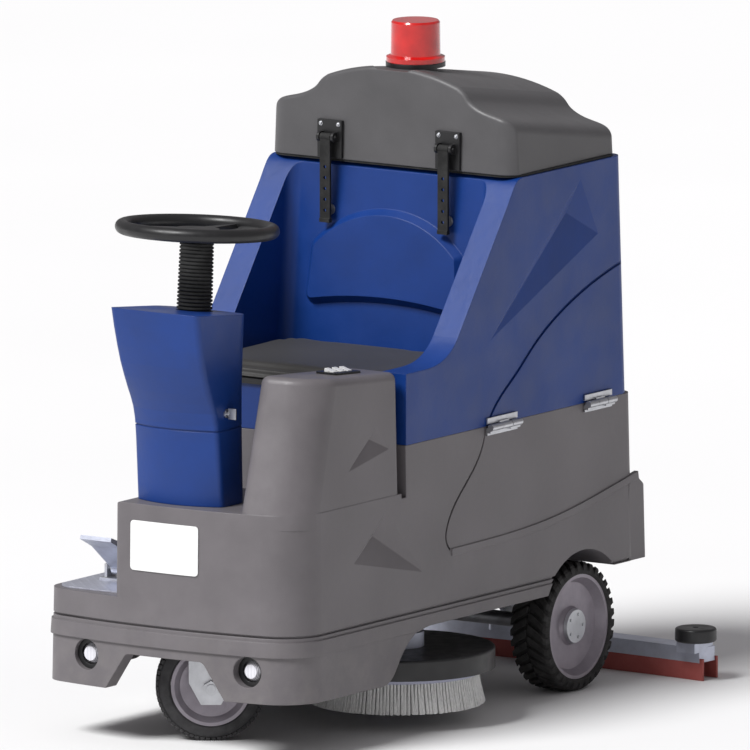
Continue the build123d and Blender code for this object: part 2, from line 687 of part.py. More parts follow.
with BuildPart() as steering_wheel:
    with Locations(column_axis.location):
        Torus(steering_wheel_r, grip_r)
    with Locations(column_axis.offset(-21).location):
        Cylinder(44, 22, align=(Align.CENTER, Align.CENTER, Align.MIN))
    for turn in (90, 210, 330):
        with BuildSketch(column_axis.offset(-8)):
            with Locations(Rotation(0, 0, turn)):
                with Locations((steering_wheel_r / 2, 0)):
                    Trapezoid(34, steering_wheel_r - 6, 84, rotation=-90)
        extrude(amount=9)

steering_wheel.part.label = "steering_wheel"
export_step(steering_wheel.part, "parts/steering_wheel.step")

# Key switch on the cover's left cheek.
with BuildPart() as key_switch_body:
    with Locations(Location((key_x - 16, key_y, key_z), (0, 90, 0))):
        Cylinder(key_barrel_r - 0.2, 26, align=(Align.CENTER, Align.CENTER, Align.MIN))
        Cylinder(4.2, 30, align=(Align.CENTER, Align.CENTER, Align.MIN), mode=Mode.SUBTRACT)

key_switch_body.part.label = "key_switch_body"
export_step(key_switch_body.part, "parts/key_switch_body.step")

with BuildPart() as ignition_key:
    with Locations(Location((key_x - 12, key_y, key_z), (0, 90, 0))):
        Cylinder(4, 26, align=(Align.CENTER, Align.CENTER, Align.MIN))
    with Locations((key_x + 22, key_y, key_z)):
        Box(18, 3, 22)

ignition_key.part.label = "ignition_key"
export_step(ignition_key.part, "parts/ignition_key.step")

# ---------------------------------------------------------------- steered front wheel
axle_way = (cos(radians(steer_rest)), -sin(radians(steer_rest)), 0)
front_hub = (0, front_wheel_y, front_wheel_r)
front_plane = Plane(front_hub, x_dir=(0, 0, 1), z_dir=axle_way)
fork_inside = front_wheel_width / 2 + 7
fork_plate = 7.0
crown_z = 233.0
stem_r = 18.0
front_axle_r = 9.0

with BuildPart() as steering_fork:
    turned = Plane((0, front_wheel_y, crown_z), x_dir=axle_way, z_dir=(0, 0, 1))
    with BuildSketch(turned):
        RectangleRounded(2 * (fork_inside + fork_plate), 92, 6)
    extrude(amount=11)
    for side in (-1, 1):
        with BuildSketch(front_plane.offset(side * fork_inside)):
            with BuildLine():
                Polyline((crown_z - front_wheel_r, -45), (crown_z - front_wheel_r, 45), (10, 44), (-34, 20),
                         (-34, -20), (10, -44), close=True)
            make_face()
            Circle(front_axle_r + 0.2, mode=Mode.SUBTRACT)
        extrude(amount=side * fork_plate)
    with Locations((0, front_wheel_y, crown_z + 10)):
        Cylinder(stem_r, 72, align=(Align.CENTER, Align.CENTER, Align.MIN))
    with Locations((0, front_wheel_y, sprocket_z)):
        Cylinder(58, 8)

steering_fork.part.label = "steering_fork"
export_step(steering_fork.part, "parts/steering_fork.step")

with BuildPart() as steering_bearing:
    with Locations((0, front_wheel_y, wheel_bay_top_z)):
        Cylinder(bearing_r, bearing_length, align=(Align.CENTER, Align.CENTER, Align.MIN))
        Cylinder(
            stem_r + bearing_gap, bearing_length,
            align=(Align.CENTER, Align.CENTER, Align.MIN), mode=Mode.SUBTRACT,
        )

steering_bearing.part.label = "steering_bearing"
export_step(steering_bearing.part, "parts/steering_bearing.step")

with BuildPart() as front_axle:
    with Locations(front_plane.location):
        Cylinder(front_axle_r, 2 * (fork_inside + fork_plate) + 20)
    for side in (-1, 1):
        with BuildSketch(front_plane.offset(side * (fork_inside + fork_plate + 0.2))):
            RegularPolygon(16, 6)
        extrude(amount=side * 8)

front_axle.part.label = "front_axle"
export_step(front_axle.part, "parts/front_axle.step")


def wheel_tyre(name, plane, outer_r, rim_r, width, shoulder):
    """A tyre with rounded shoulders, on the wheel's own plane."""
    with BuildPart() as tyre:
        with BuildSketch(Plane(plane.origin, x_dir=plane.x_dir, z_dir=-plane.y_dir)) as section:
            with Locations(((outer_r + rim_r) / 2, 0)):
                Rectangle(outer_r - rim_r, width)
            fillet(section.vertices().sort_by_distance(plane.origin)[-2:], shoulder)
        revolve(axis=Axis(plane.origin, plane.z_dir))
    tyre.part.label = name
    export_step(tyre.part, f"parts/{name}.step")


def wheel_rim(name, plane, rim_r, width, dish, bore_r, cap_r):
    """A dished disc wheel with a rolled edge, thickened round its bore."""
    half = width / 2
    with BuildPart() as rim:
        with BuildSketch(Plane(plane.origin, x_dir=plane.x_dir, z_dir=-plane.y_dir)):
            with BuildLine():
                Polyline(
                    (bore_r, half - dish + 8), (cap_r, half - dish + 8), (cap_r + 6, half - dish),
                    (rim_r - 18, half - dish + 2), (rim_r - 7, half - 1), (rim_r - 0.1, half - 1),
                    (rim_r - 0.1, 1 - half), (rim_r - 7, 1 - half), (rim_r - 14, half - dish - 8),
                    (cap_r + 4, half - dish - 10), (cap_r, 4 - half), (bore_r, 4 - half),
                    close=True,
                )
            make_face()
        revolve(axis=Axis(plane.origin, plane.z_dir))
    rim.part.label = name
    export_step(rim.part, f"parts/{name}.step")


front_tyre_depth = 30.0
front_rim_r = front_wheel_r - front_tyre_depth
wheel_tyre("front_tyre", front_plane, front_wheel_r, front_rim_r, front_wheel_width, 12)
wheel_rim("front_rim", front_plane, front_rim_r, front_wheel_width - 4, 12, front_axle_r + bearing_gap, 26)

# ---------------------------------------------------------------- rear wheels
rear_tyre_depth = 25.0
rear_rim_r = rear_wheel_r - rear_tyre_depth
rear_axle_r = 15.0
rear_wheel_width = rear_wheel_x[1] - rear_wheel_x[0]
rear_wheel_mid_x = sum(rear_wheel_x) / 2
rear_planes = {
    name: Plane((side * rear_wheel_mid_x, rear_wheel_y, rear_wheel_r), x_dir=(0, 0, 1), z_dir=(side, 0, 0))
    for name, side in (("right", -1), ("left", 1))
}
for name, plane in rear_planes.items():
    wheel_tyre(f"rear_tyre_{name}", plane, rear_wheel_r, rear_rim_r, rear_wheel_width, 10)
    wheel_rim(f"rear_rim_{name}", plane, rear_rim_r, rear_wheel_width - 8, 22, rear_axle_r + bearing_gap, 34)
    with BuildPart() as hub_cap:
        with BuildSketch(plane.offset(rear_wheel_width / 2 - 4 - 22 + 8.3)):
            Circle(36)
        extrude(amount=7, taper=20)
    hub_cap.part.label = f"hub_cap_{name}"
    export_step(hub_cap.part, f"parts/hub_cap_{name}.step")

with BuildPart() as rear_axle:
    with Locations(Location((0, rear_wheel_y, rear_wheel_r), (0, 90, 0))):
        Cylinder(rear_axle_r, 2 * (rear_wheel_x[1] - 19))
    for side in (-1, 1):
        with Locations(Location((side * 190, rear_wheel_y, rear_wheel_r), (0, 90, 0))):
            Cylinder(24, 10)

rear_axle.part.label = "rear_axle"
export_step(rear_axle.part, "parts/rear_axle.step")

# ---------------------------------------------------------------- steel frame under the floor
rail_x = 76.0
rail_size = (28.0, 36.0)
rail_foot_z = 200.0
rail_rear_y = front_y + 1216.0
rail_front_y = front_y + 300.0
guide_r = 9.0
guide_x = 46.0
guide_plate_z = (168.0, 184.0)
screw_r = 6.0
arm_pivot = (front_y + 1200.0, 168.0)
arm_pin_r = 7.0

with BuildPart() as chassis_frame:
    for side in (-1, 1):
        with Locations((side * rail_x, (rail_front_y + rail_rear_y) / 2, rail_foot_z + rail_size[1] / 2)):
            Box(rail_size[0], rail_rear_y - rail_front_y, rail_size[1])
    for cross_y, cross_half in ((315, 270), (790, 270), (1018, 186), (1186, 170)):
        with Locations((0, front_y + cross_y, rail_foot_z + rail_size[1] / 2)):
            Box(2 * cross_half, 30, rail_size[1])
    # Axle brackets.
    for side in (-1, 1):
        with BuildSketch(Plane.YZ.offset(side * 172 - 6)):
            with Locations((rear_wheel_y, (rail_foot_z + rear_wheel_r - 26) / 2)):
                Rectangle(64, rail_foot_z - rear_wheel_r + 26)
            with Locations((rear_wheel_y, rear_wheel_r)):
                Circle(rear_axle_r + 0.02, mode=Mode.SUBTRACT)
        extrude(amount=12)
    # Guide plate of the brush deck, hung between the rails.
    with Locations((0, brush_y, sum(guide_plate_z) / 2)):
        Box(2 * rail_x + rail_size[0], 60, guide_plate_z[1] - guide_plate_z[0])
    for side in (-1, 1):
        with Locations((side * rail_x, brush_y, (guide_plate_z[1] + rail_foot_z) / 2)):
            Box(rail_size[0], 50, rail_foot_z - guide_plate_z[1])
        with Locations((side * guide_x, brush_y, 176)):
            Cylinder(guide_r + bearing_gap, 60, mode=Mode.SUBTRACT)
    with Locations((0, brush_y, 176)):
        Cylinder(screw_r + 2, 60, mode=Mode.SUBTRACT)
    # Lugs for the squeegee's lift arm.
    for side in (-1, 1):
        with BuildSketch(Plane.YZ.offset(side * 52 - 5)):
            with Locations((arm_pivot[0], (rail_foot_z + arm_pivot[1] - 14) / 2)):
                Rectangle(34, rail_foot_z - arm_pivot[1] + 14)
            with Locations(arm_pivot):
                Circle(arm_pin_r + bearing_gap, mode=Mode.SUBTRACT)
        extrude(amount=10)

chassis_frame.part.label = "chassis_frame"
export_step(chassis_frame.part, "parts/chassis_frame.step")

# ---------------------------------------------------------------- footwell and pedal
with BuildPart() as footwell_plate:
    plate_x = (-292.0, console_x[0] - 4)
    plate_y = (front_y + 10, platform_rear_y - 4)
    with BuildSketch(Plane.XY.offset(platform_z + 0.3)) as plate_plan:
        with Locations((sum(plate_x) / 2, sum(plate_y) / 2)):
            Rectangle(plate_x[1] - plate_x[0], plate_y[1] - plate_y[0])
        fillet(plate_plan.vertices().filter_by(lambda v: v.X < -200).sort_by(Axis.Y)[0], 42)
    extrude(amount=3)

footwell_plate.part.label = "footwell_plate"
export_step(footwell_plate.part, "parts/footwell_plate.step")

pedal_x = -196.0
pedal_pivot = (front_y + 136.0, platform_z + 24.0)
pedal_pin_r = 5.0
pedal_width = 74.0
with BuildPart() as pedal_bracket:
    with Locations((pedal_x, pedal_pivot[0], platform_z + 3.4)):
        Box(pedal_width + 34, 52, 5, align=(Align.CENTER, Align.CENTER, Align.MIN))
    for side in (-1, 1):
        with Locations((pedal_x + side * (pedal_width / 2 + 9), pedal_pivot[0], platform_z + 8)):
            Box(6, 30, 27, align=(Align.CENTER, Align.CENTER, Align.MIN))
    with Locations(Location((pedal_x, *pedal_pivot), (0, 90, 0))):
        Cylinder(pedal_pin_r, pedal_width + 18)

pedal_bracket.part.label = "pedal_bracket"
export_step(pedal_bracket.part, "parts/pedal_bracket.step")

with BuildPart() as accelerator_pedal:
    with BuildSketch(Plane.YZ.offset(pedal_x - pedal_width / 2)):
        with BuildLine():
            Polyline(
                (pedal_pivot[0] + 10, pedal_pivot[1] + 4), (pedal_pivot[0] - 70, pedal_pivot[1] + 66),
                (pedal_pivot[0] - 116, pedal_pivot[1] + 84), (pedal_pivot[0] - 119, pedal_pivot[1] + 76),
                (pedal_pivot[0] - 78, pedal_pivot[1] + 56), (pedal_pivot[0] + 4, pedal_pivot[1] - 8),
                close=True,
            )
        make_face()
        with Locations(pedal_pivot):
            Circle(11)
            Circle(pedal_pin_r + bearing_gap, mode=Mode.SUBTRACT)
    extrude(amount=pedal_width)

accelerator_pedal.part.label = "accelerator_pedal"
export_step(accelerator_pedal.part, "parts/accelerator_pedal.step")

# ---------------------------------------------------------------- switches on the pod
panel_y = front_y + 250.0
panel_x = (pod_x + body_half - 12) / 2
panel_z = pod_top_z + 12 - 0.075 * (panel_y - front_y - 95)
panel_plane = Plane((panel_x, panel_y, panel_z + 0.3), x_dir=(1, 0, 0), z_dir=(0, 0.075, 1))
rocker_size = (22.0, 15.0)
rocker_pitch = 26.0
rocker_pin_z = 4.5

with BuildPart() as switch_panel:
    with BuildSketch(panel_plane):
        RectangleRounded(50, 3 * rocker_pitch + 14, 6)
        with GridLocations(0, rocker_pitch, 1, 3):
            Rectangle(rocker_size[0] + 1.2, rocker_size[1] + 1.2, mode=Mode.SUBTRACT)
    extrude(amount=4)

switch_panel.part.label = "switch_panel"
export_step(switch_panel.part, "parts/switch_panel.step")

for index, name in enumerate(("rocker_switch_front", "rocker_switch_middle", "rocker_switch_rear")):
    rocker_plane = panel_plane.shift_origin(
        panel_plane.origin + panel_plane.y_dir * (index - 1) * rocker_pitch
    )
    with BuildPart() as rocker:
        with BuildSketch(Plane(rocker_plane.origin, x_dir=rocker_plane.x_dir, z_dir=-rocker_plane.y_dir)):
            with BuildLine():
                Polyline((-11, 2.2), (11, 2.2), (10.6, 5), (2, 7), (-10.6, 11), (-11, 8), close=True)
            make_face()
            with Locations((0, rocker_pin_z)):
                Circle(1.2, mode=Mode.SUBTRACT)
        extrude(amount=rocker_size[1] / 2, both=True)
    rocker.part.label = name
    export_step(rocker.part, f"parts/{name}.step")

# ---------------------------------------------------------------- headlights and the blank name plate
with BuildPart() as headlight_bezels:
    for side in (-1, 1):
        with BuildSketch(Plane.XZ.offset(-(front_y + headlight_floor_y - 0.3))):
            with Locations((side * headlight_x, headlight_z)):
                Circle(headlight_r - slip)
                Circle(headlight_r - 9, mode=Mode.SUBTRACT)
        extrude(amount=9)

headlight_bezels.part.label = "headlight_bezels"
export_step(headlight_bezels.part, "parts/headlight_bezels.step")

with BuildPart() as headlight_lenses:
    for side in (-1, 1):
        lens_place = (side * headlight_x, front_y + headlight_floor_y - 0.3, headlight_z)
        with Locations(Location(lens_place, (90, 0, 0))):
            Cone(headlight_r - 10, headlight_r - 17, 12, align=(Align.CENTER, Align.CENTER, Align.MIN))

headlight_lenses.part.label = "headlight_lenses"
export_step(headlight_lenses.part, "parts/headlight_lenses.step")

name_plate_size = (162.0, 100.0)
name_plate_z = 407.0
plate_skin = body_slab(skirt_z, body_top_z - skirt_z, 2.2, body_draft)
plate_back = body_slab(skirt_z, body_top_z - skirt_z, 0.3, body_draft)
with BuildPart() as name_plate:
    with BuildSketch(Plane.XZ.offset(-front_y)):
        with Locations((0, name_plate_z)):
            RectangleRounded(*name_plate_size, 8)
    extrude(amount=80)
    add(plate_skin, mode=Mode.INTERSECT)
    add(plate_back, mode=Mode.SUBTRACT)

name_plate.part.label = "name_plate"
export_step(name_plate.part, "parts/name_plate.step")

# ---------------------------------------------------------------- tank hinges
hinge_pin = (tank_half + 12.0, body_top_z - 2.0)
hinge_pin_r = 3.5
hinge_spans = ((672.0, 779.0), (1023.0, 1120.0))
leaf_x = tank_half + 1.0

with BuildPart() as hinge_lower_leaves:
    for near, far in hinge_spans:
        third = (far - near) / 3
        with BuildSketch(Plane.XZ.offset(-(front_y + near))):
            with Locations((leaf_x + 2, hinge_pin[1] - 10)):
                Rectangle(4, 12)
        extrude(amount=-(far - near))
        for knuckle_y in (near, far - third + 1):
            with BuildSketch(Plane.XZ.offset(-(front_y + knuckle_y))):
                with Locations(hinge_pin):
                    Circle(7)
                with Locations((hinge_pin[0] - 5, hinge_pin[1] - 6)):
                    Rectangle(10, 10)
            extrude(amount=-(third - 1))
        with BuildSketch(Plane.XZ.offset(-(front_y + near))):
            with Locations(hinge_pin):
                Circle(hinge_pin_r)
        extrude(amount=-(far - near))

hinge_lower_leaves.part.label = "hinge_lower_leaves"
export_step(hinge_lower_leaves.part, "parts/hinge_lower_leaves.step")

with BuildPart() as hinge_upper_leaves:
    for near, far in hinge_spans:
        third = (far - near) / 3
        with BuildSketch(Plane.XZ.offset(-(front_y + near))):
            with Locations((leaf_x + 2, hinge_pin[1] + 13)):
                Rectangle(4, 12)
        extrude(amount=-(far - near))
        with BuildSketch(Plane.XZ.offset(-(front_y + near + third))):
            with Locations(hinge_pin):
                Circle(7)
            with Locations((leaf_x + 4.5, hinge_pin[1] + 5)):
                Rectangle(9, 10)
            with Locations(hinge_pin):
                Circle(hinge_pin_r + bearing_gap, mode=Mode.SUBTRACT)
        extrude(amount=-(third - 1))

hinge_upper_leaves.part.label = "hinge_upper_leaves"
export_step(hinge_upper_leaves.part, "parts/hinge_upper_leaves.step")

# ---------------------------------------------------------------- what the body holds
with BuildPart() as battery_pack:
    with Locations((0, front_y + 410 + 210, floor_z + 5)):
        with GridLocations(262, 212, 2, 2):
            Box(254, 205, 270, align=(Align.CENTER, Align.CENTER, Align.MIN))

battery_pack.part.label = "battery_pack"
export_step(battery_pack.part, "parts/battery_pack.step")

with BuildPart() as motor_controller:
    with Locations((0, front_y + 1010, floor_z + 5)):
        Box(180, 140, 60, align=(Align.CENTER, Align.CENTER, Align.MIN))

motor_controller.part.label = "motor_controller"
export_step(motor_controller.part, "parts/motor_controller.step")

with BuildPart() as solution_pump:
    with Locations((-60, front_y + 910, floor_z + 5)):
        Box(80, 50, 50, align=(Align.CENTER, Align.CENTER, Align.MIN))
    with Locations(Location((-20, front_y + 910, floor_z + 30), (0, 90, 0))):
        Cylinder(22, 80, align=(Align.CENTER, Align.CENTER, Align.MIN))

solution_pump.part.label = "solution_pump"
export_step(solution_pump.part, "parts/solution_pump.step")

# ---------------------------------------------------------------- brush deck
deck_z = (110.0, 151.0)
deck_wall = 8.0
brush_shaft_r = 11.0

with BuildPart() as brush_deck:
    with BuildSketch(Plane.XY.offset(deck_z[0])):
        with Locations((-brush_x, brush_y), (brush_x, brush_y)):
            Circle(deck_r)
        with Locations((0, brush_y)):
            Rectangle(2 * brush_x, 300)
    extrude(amount=deck_z[1] - deck_z[0])
    deck_rims = brush_deck.faces().sort_by(Axis.Z)[-1].edges()
    fillet(deck_rims, 4)
    for side in (-1, 1):
        with Locations((side * brush_x, brush_y, deck_z[0] - 1)):
            Cylinder(
                deck_r - deck_wall, deck_z[1] - deck_z[0] - deck_wall + 1,
                align=(Align.CENTER, Align.CENTER, Align.MIN), mode=Mode.SUBTRACT,
            )
        with Locations((side * brush_x, brush_y, deck_z[1])):
            Cylinder(brush_shaft_r + 6, 60, mode=Mode.SUBTRACT)
        with Locations((side * guide_x, brush_y, deck_z[1] - 1)):
            Cylinder(guide_r, 82, align=(Align.CENTER, Align.CENTER, Align.MIN))
    with Locations((0, brush_y, deck_z[1] - 1)):
        Cylinder(screw_r, 78, align=(Align.CENTER, Align.CENTER, Align.MIN))

brush_deck.part.label = "brush_deck"
export_step(brush_deck.part, "parts/brush_deck.step")

with BuildPart() as lift_actuator:
    with Locations((0, brush_y, guide_plate_z[1] + 0.2)):
        Cylinder(24, 52, align=(Align.CENTER, Align.CENTER, Align.MIN))
        Cylinder(screw_r + bearing_gap, 48, align=(Align.CENTER, Align.CENTER, Align.MIN), mode=Mode.SUBTRACT)

lift_actuator.part.label = "lift_actuator"
export_step(lift_actuator.part, "parts/lift_actuator.step")

with BuildPart() as brush_motors:
    for side in (-1, 1):
        with Locations((side * brush_x, brush_y, deck_z[1] + 0.2)):
            Cylinder(54, 30, align=(Align.CENTER, Align.CENTER, Align.MIN))
            Cylinder(42, 80, align=(Align.CENTER, Align.CENTER, Align.MIN))
        with Locations((side * brush_x, brush_y, deck_z[1])):
            Cylinder(
                brush_shaft_r + bearing_gap, 22,
                align=(Align.CENTER, Align.CENTER, Align.MIN), mode=Mode.SUBTRACT,
            )

brush_motors.part.label = "brush_motors"
export_step(brush_motors.part, "parts/brush_motors.step")

bristle_z = (38.0, 99.0)
for name, side in (("right", -1), ("left", 1)):
    with BuildPart() as brush_block:
        with Locations((side * brush_x, brush_y, bristle_z[1] + 0.2)):
            Cylinder(166, 14, align=(Align.CENTER, Align.CENTER, Align.MIN))
            Cylinder(40, 36, align=(Align.CENTER, Align.CENTER, Align.MIN))
            Cylinder(brush_shaft_r, 68, align=(Align.CENTER, Align.CENTER, Align.MIN))
    brush_block.part.label = f"brush_block_{name}"
    export_step(brush_block.part, f"parts/brush_block_{name}.step")
    with BuildPart() as bristles:
        with BuildSketch(Plane.XZ.offset(-brush_y)):
            with BuildLine():
                Polyline(
                    (side * brush_x + 90, bristle_z[1]), (side * brush_x + 165, bristle_z[1]),
                    (side * brush_x + 178, bristle_z[0]), (side * brush_x + 84, bristle_z[0]),
                    close=True,
                )
            make_face()
        revolve(axis=Axis((side * brush_x, brush_y, 0), (0, 0, 1)))
    bristles.part.label = f"bristles_{name}"
    export_step(bristles.part, f"parts/bristles_{name}.step")

# ---------------------------------------------------------------- squeegee
blade_y = front_y + 1310.0
blade_bow = 20.0
squeegee_half = 430.0
swivel_y = front_y + 1262.0
swivel_pin_r = 10.0
channel_z = (36.0, 66.0)
guard_r = 42.0
guard_x = 420.0
guard_y = front_y + 1250.0
guard_z = (81.0, 109.0)
guard_pin_r = 6.0


def blade_arc(shift, half):
    """The squeegee's bowed line, shifted to the front or rear."""
    end_y = blade_y - blade_bow + shift
    ThreePointArc((-half, end_y), (0, blade_y + shift), (half, end_y))


with BuildPart() as squeegee_arm:
    for side in (-1, 1):
        with BuildSketch(Plane.YZ.offset(side * 38 - 5)):
            with BuildLine():
                Polyline(
                    (arm_pivot[0] - 16, arm_pivot[1] + 12), (arm_pivot[0] + 12, arm_pivot[1] + 14),
                    (swivel_y + 15, 118), (swivel_y + 15, 98), (swivel_y - 22, 98),
                    (arm_pivot[0] - 12, arm_pivot[1] - 14),
                    close=True,
                )
            make_face()
        extrude(amount=10)
    with Locations((0, swivel_y - 3.5, 98)):
        Box(86, 37, 14, align=(Align.CENTER, Align.CENTER, Align.MIN))
    with Locations((0, swivel_y, 105)):
        Cylinder(swivel_pin_r + bearing_gap, 60, mode=Mode.SUBTRACT)
    with Locations(Location((0, *arm_pivot), (0, 90, 0))):
        Cylinder(arm_pin_r, 124)

squeegee_arm.part.label = "squeegee_arm"
export_step(squeegee_arm.part, "parts/squeegee_arm.step")

with BuildPart() as squeegee_channel:
    with BuildSketch(Plane.XY.offset(channel_z[0])):
        with BuildLine():
            blade_arc(-14, squeegee_half)
        trace(line_width=50)
    extrude(amount=channel_z[1] - channel_z[0])
    # Bridge forward to the swivel, its pin, and the suction spout behind.
    with BuildSketch(Plane.XY.offset(channel_z[1] - 6)):
        with Locations((0, swivel_y + 4)):
            RectangleRounded(150, 64, 12)
    extrude(amount=12)
    with Locations((0, swivel_y, channel_z[1])):
        Cylinder(22, 31, align=(Align.CENTER, Align.CENTER, Align.MIN))
        Cylinder(swivel_pin_r, 60, align=(Align.CENTER, Align.CENTER, Align.MIN))
    with Locations((0, blade_y - 6, channel_z[0])):
        Cylinder(hose_bore_r + 3, 96, align=(Align.CENTER, Align.CENTER, Align.MIN))
        Cylinder(hose_bore_r, 96, align=(Align.CENTER, Align.CENTER, Align.MIN), mode=Mode.SUBTRACT)
    # Outriggers of the guard wheels.
    for side in (-1, 1):
        with BuildSketch(Plane.XY.offset(channel_z[1] - 8)):
            with Locations((side * (guard_x - 12), guard_y + 14)):
                Rectangle(44, 66)
        extrude(amount=20)
        with Locations((side * guard_x, guard_y, channel_z[1])):
            pin_length = guard_z[1] - channel_z[1] - 3
            Cylinder(guard_pin_r, pin_length, align=(Align.CENTER, Align.CENTER, Align.MIN))

squeegee_channel.part.label = "squeegee_channel"
export_step(squeegee_channel.part, "parts/squeegee_channel.step")

with BuildPart() as squeegee_blades:
    for shift in (-36, 14):
        with BuildSketch(Plane.XY.offset(0.5)):
            with BuildLine():
                blade_arc(shift, squeegee_half + 6)
            trace(line_width=5)
        extrude(amount=44)
    add(squeegee_channel.part, mode=Mode.SUBTRACT)
    # The rear blade's upper edge is cut clear of the suction bore.
    with Locations((0, blade_y - 6, channel_z[0])):
        Cylinder(hose_bore_r + slip, 20, align=(Align.CENTER, Align.CENTER, Align.MIN), mode=Mode.SUBTRACT)

squeegee_blades.part.label = "squeegee_blades"
export_step(squeegee_blades.part, "parts/squeegee_blades.step")

for name, side in (("right", -1), ("left", 1)):
    with BuildPart() as guard_wheel:
        with Locations((side * guard_x, guard_y, guard_z[0])):
            Cylinder(guard_r, guard_z[1] - guard_z[0], align=(Align.CENTER, Align.CENTER, Align.MIN))
        fillet(guard_wheel.edges().filter_by(GeomType.CIRCLE), 5)
        with Locations((side * guard_x, guard_y, guard_z[0])):
            Cylinder(
                guard_pin_r + bearing_gap, guard_z[1] - guard_z[0],
                align=(Align.CENTER, Align.CENTER, Align.MIN), mode=Mode.SUBTRACT,
            )
    guard_wheel.part.label = f"guard_wheel_{name}"
    export_step(guard_wheel.part, f"parts/guard_wheel_{name}.step")
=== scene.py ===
import json
import math
import random

import bmesh
import bpy
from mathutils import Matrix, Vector


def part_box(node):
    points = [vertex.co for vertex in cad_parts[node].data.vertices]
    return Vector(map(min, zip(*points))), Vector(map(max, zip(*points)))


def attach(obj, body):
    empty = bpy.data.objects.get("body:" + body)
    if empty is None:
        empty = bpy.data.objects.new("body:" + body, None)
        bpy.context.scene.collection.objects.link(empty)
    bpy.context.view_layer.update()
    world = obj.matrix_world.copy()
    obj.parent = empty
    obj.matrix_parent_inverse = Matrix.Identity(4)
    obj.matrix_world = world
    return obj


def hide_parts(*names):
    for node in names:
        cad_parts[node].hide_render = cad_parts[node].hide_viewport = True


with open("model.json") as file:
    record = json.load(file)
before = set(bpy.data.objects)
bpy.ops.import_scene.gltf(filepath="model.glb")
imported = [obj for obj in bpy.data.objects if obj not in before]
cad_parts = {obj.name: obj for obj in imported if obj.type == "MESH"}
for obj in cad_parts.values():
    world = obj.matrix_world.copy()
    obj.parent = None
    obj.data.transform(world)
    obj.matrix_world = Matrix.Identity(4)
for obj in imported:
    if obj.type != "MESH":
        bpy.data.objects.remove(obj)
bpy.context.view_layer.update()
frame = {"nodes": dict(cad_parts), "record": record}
nodes = frame["nodes"]
record = frame["record"]

STEER_REST = math.radians(56.0)  # the front wheel stands turned this far to the left


# ------------------------------------------------------------------ materials
def new_material(name):
    """A node material, its node tree and its Principled shader."""
    material = bpy.data.materials.new(name)
    material.use_nodes = True
    tree = material.node_tree
    return material, tree, tree.nodes["Principled BSDF"]


def link(tree, out_socket, in_socket):
    tree.links.new(out_socket, in_socket)


def object_coords(tree):
    return tree.nodes.new("ShaderNodeTexCoord").outputs["Object"]


def noise(tree, coords, scale, detail=4.0, roughness=0.5, distortion=0.0):
    node = tree.nodes.new("ShaderNodeTexNoise")
    node.inputs["Scale"].default_value = scale
    node.inputs["Detail"].default_value = detail
    node.inputs["Roughness"].default_value = roughness
    node.inputs["Distortion"].default_value = distortion
    link(tree, coords, node.inputs["Vector"])
    return node.outputs["Fac"]


def ramp(tree, value, stops):
    """Maps a value through (position, grey or colour) stops."""
    node = tree.nodes.new("ShaderNodeValToRGB")
    link(tree, value, node.inputs["Fac"])
    elements = node.color_ramp.elements
    while len(elements) < len(stops):
        elements.new(0.5)
    for element, (position, colour) in zip(elements, stops):
        element.position = position
        grey = colour if isinstance(colour, (tuple, list)) else (colour,) * 3
        element.color = (*grey, 1.0)
    return node.outputs["Color"]


def mix(tree, factor, a, b, mode="MIX"):
    """Mixes two colours, each a socket or a value."""
    node = tree.nodes.new("ShaderNodeMix")
    node.data_type = "RGBA"
    node.blend_type = mode
    for socket, value in ((node.inputs["Factor"], factor), (node.inputs["A"], a), (node.inputs["B"], b)):
        if isinstance(value, bpy.types.NodeSocket):
            link(tree, value, socket)
        elif isinstance(value, (tuple, list)):
            socket.default_value = (*value, 1.0)
        else:
            socket.default_value = value
    return node.outputs["Result"]


def maths(tree, operation, a, b=0.0, clamp=False):
    node = tree.nodes.new("ShaderNodeMath")
    node.operation = operation
    node.use_clamp = clamp
    for socket, value in zip(node.inputs, (a, b)):
        if isinstance(value, bpy.types.NodeSocket):
            link(tree, value, socket)
        else:
            socket.default_value = value
    return node.outputs["Value"]


def axis_value(tree, coords, axis):
    node = tree.nodes.new("ShaderNodeSeparateXYZ")
    link(tree, coords, node.inputs["Vector"])
    return node.outputs[axis]


def bump(tree, bsdf, height, distance, strength=1.0, soft_edge=0.0):
    """Bump from a height, over edges that look soft_edge metres round."""
    node = tree.nodes.new("ShaderNodeBump")
    node.inputs["Strength"].default_value = strength
    node.inputs["Distance"].default_value = distance
    link(tree, height, node.inputs["Height"])
    if soft_edge:
        bevel = tree.nodes.new("ShaderNodeBevel")
        bevel.samples = 4
        bevel.inputs["Radius"].default_value = soft_edge
        link(tree, bevel.outputs["Normal"], node.inputs["Normal"])
    link(tree, node.outputs["Normal"], bsdf.inputs["Normal"])


def edge_mask(tree, radius):
    """Near 1 on sharp edges and 0 on open faces: how far a bevelled normal leaves the true one."""
    bevel = tree.nodes.new("ShaderNodeBevel")
    bevel.samples = 4
    bevel.inputs["Radius"].default_value = radius
    geometry = tree.nodes.new("ShaderNodeNewGeometry")
    dot = tree.nodes.new("ShaderNodeVectorMath")
    dot.operation = "DOT_PRODUCT"
    link(tree, bevel.outputs["Normal"], dot.inputs[0])
    link(tree, geometry.outputs["Normal"], dot.inputs[1])
    return maths(tree, "SUBTRACT", 1.0, dot.outputs["Value"], clamp=True)


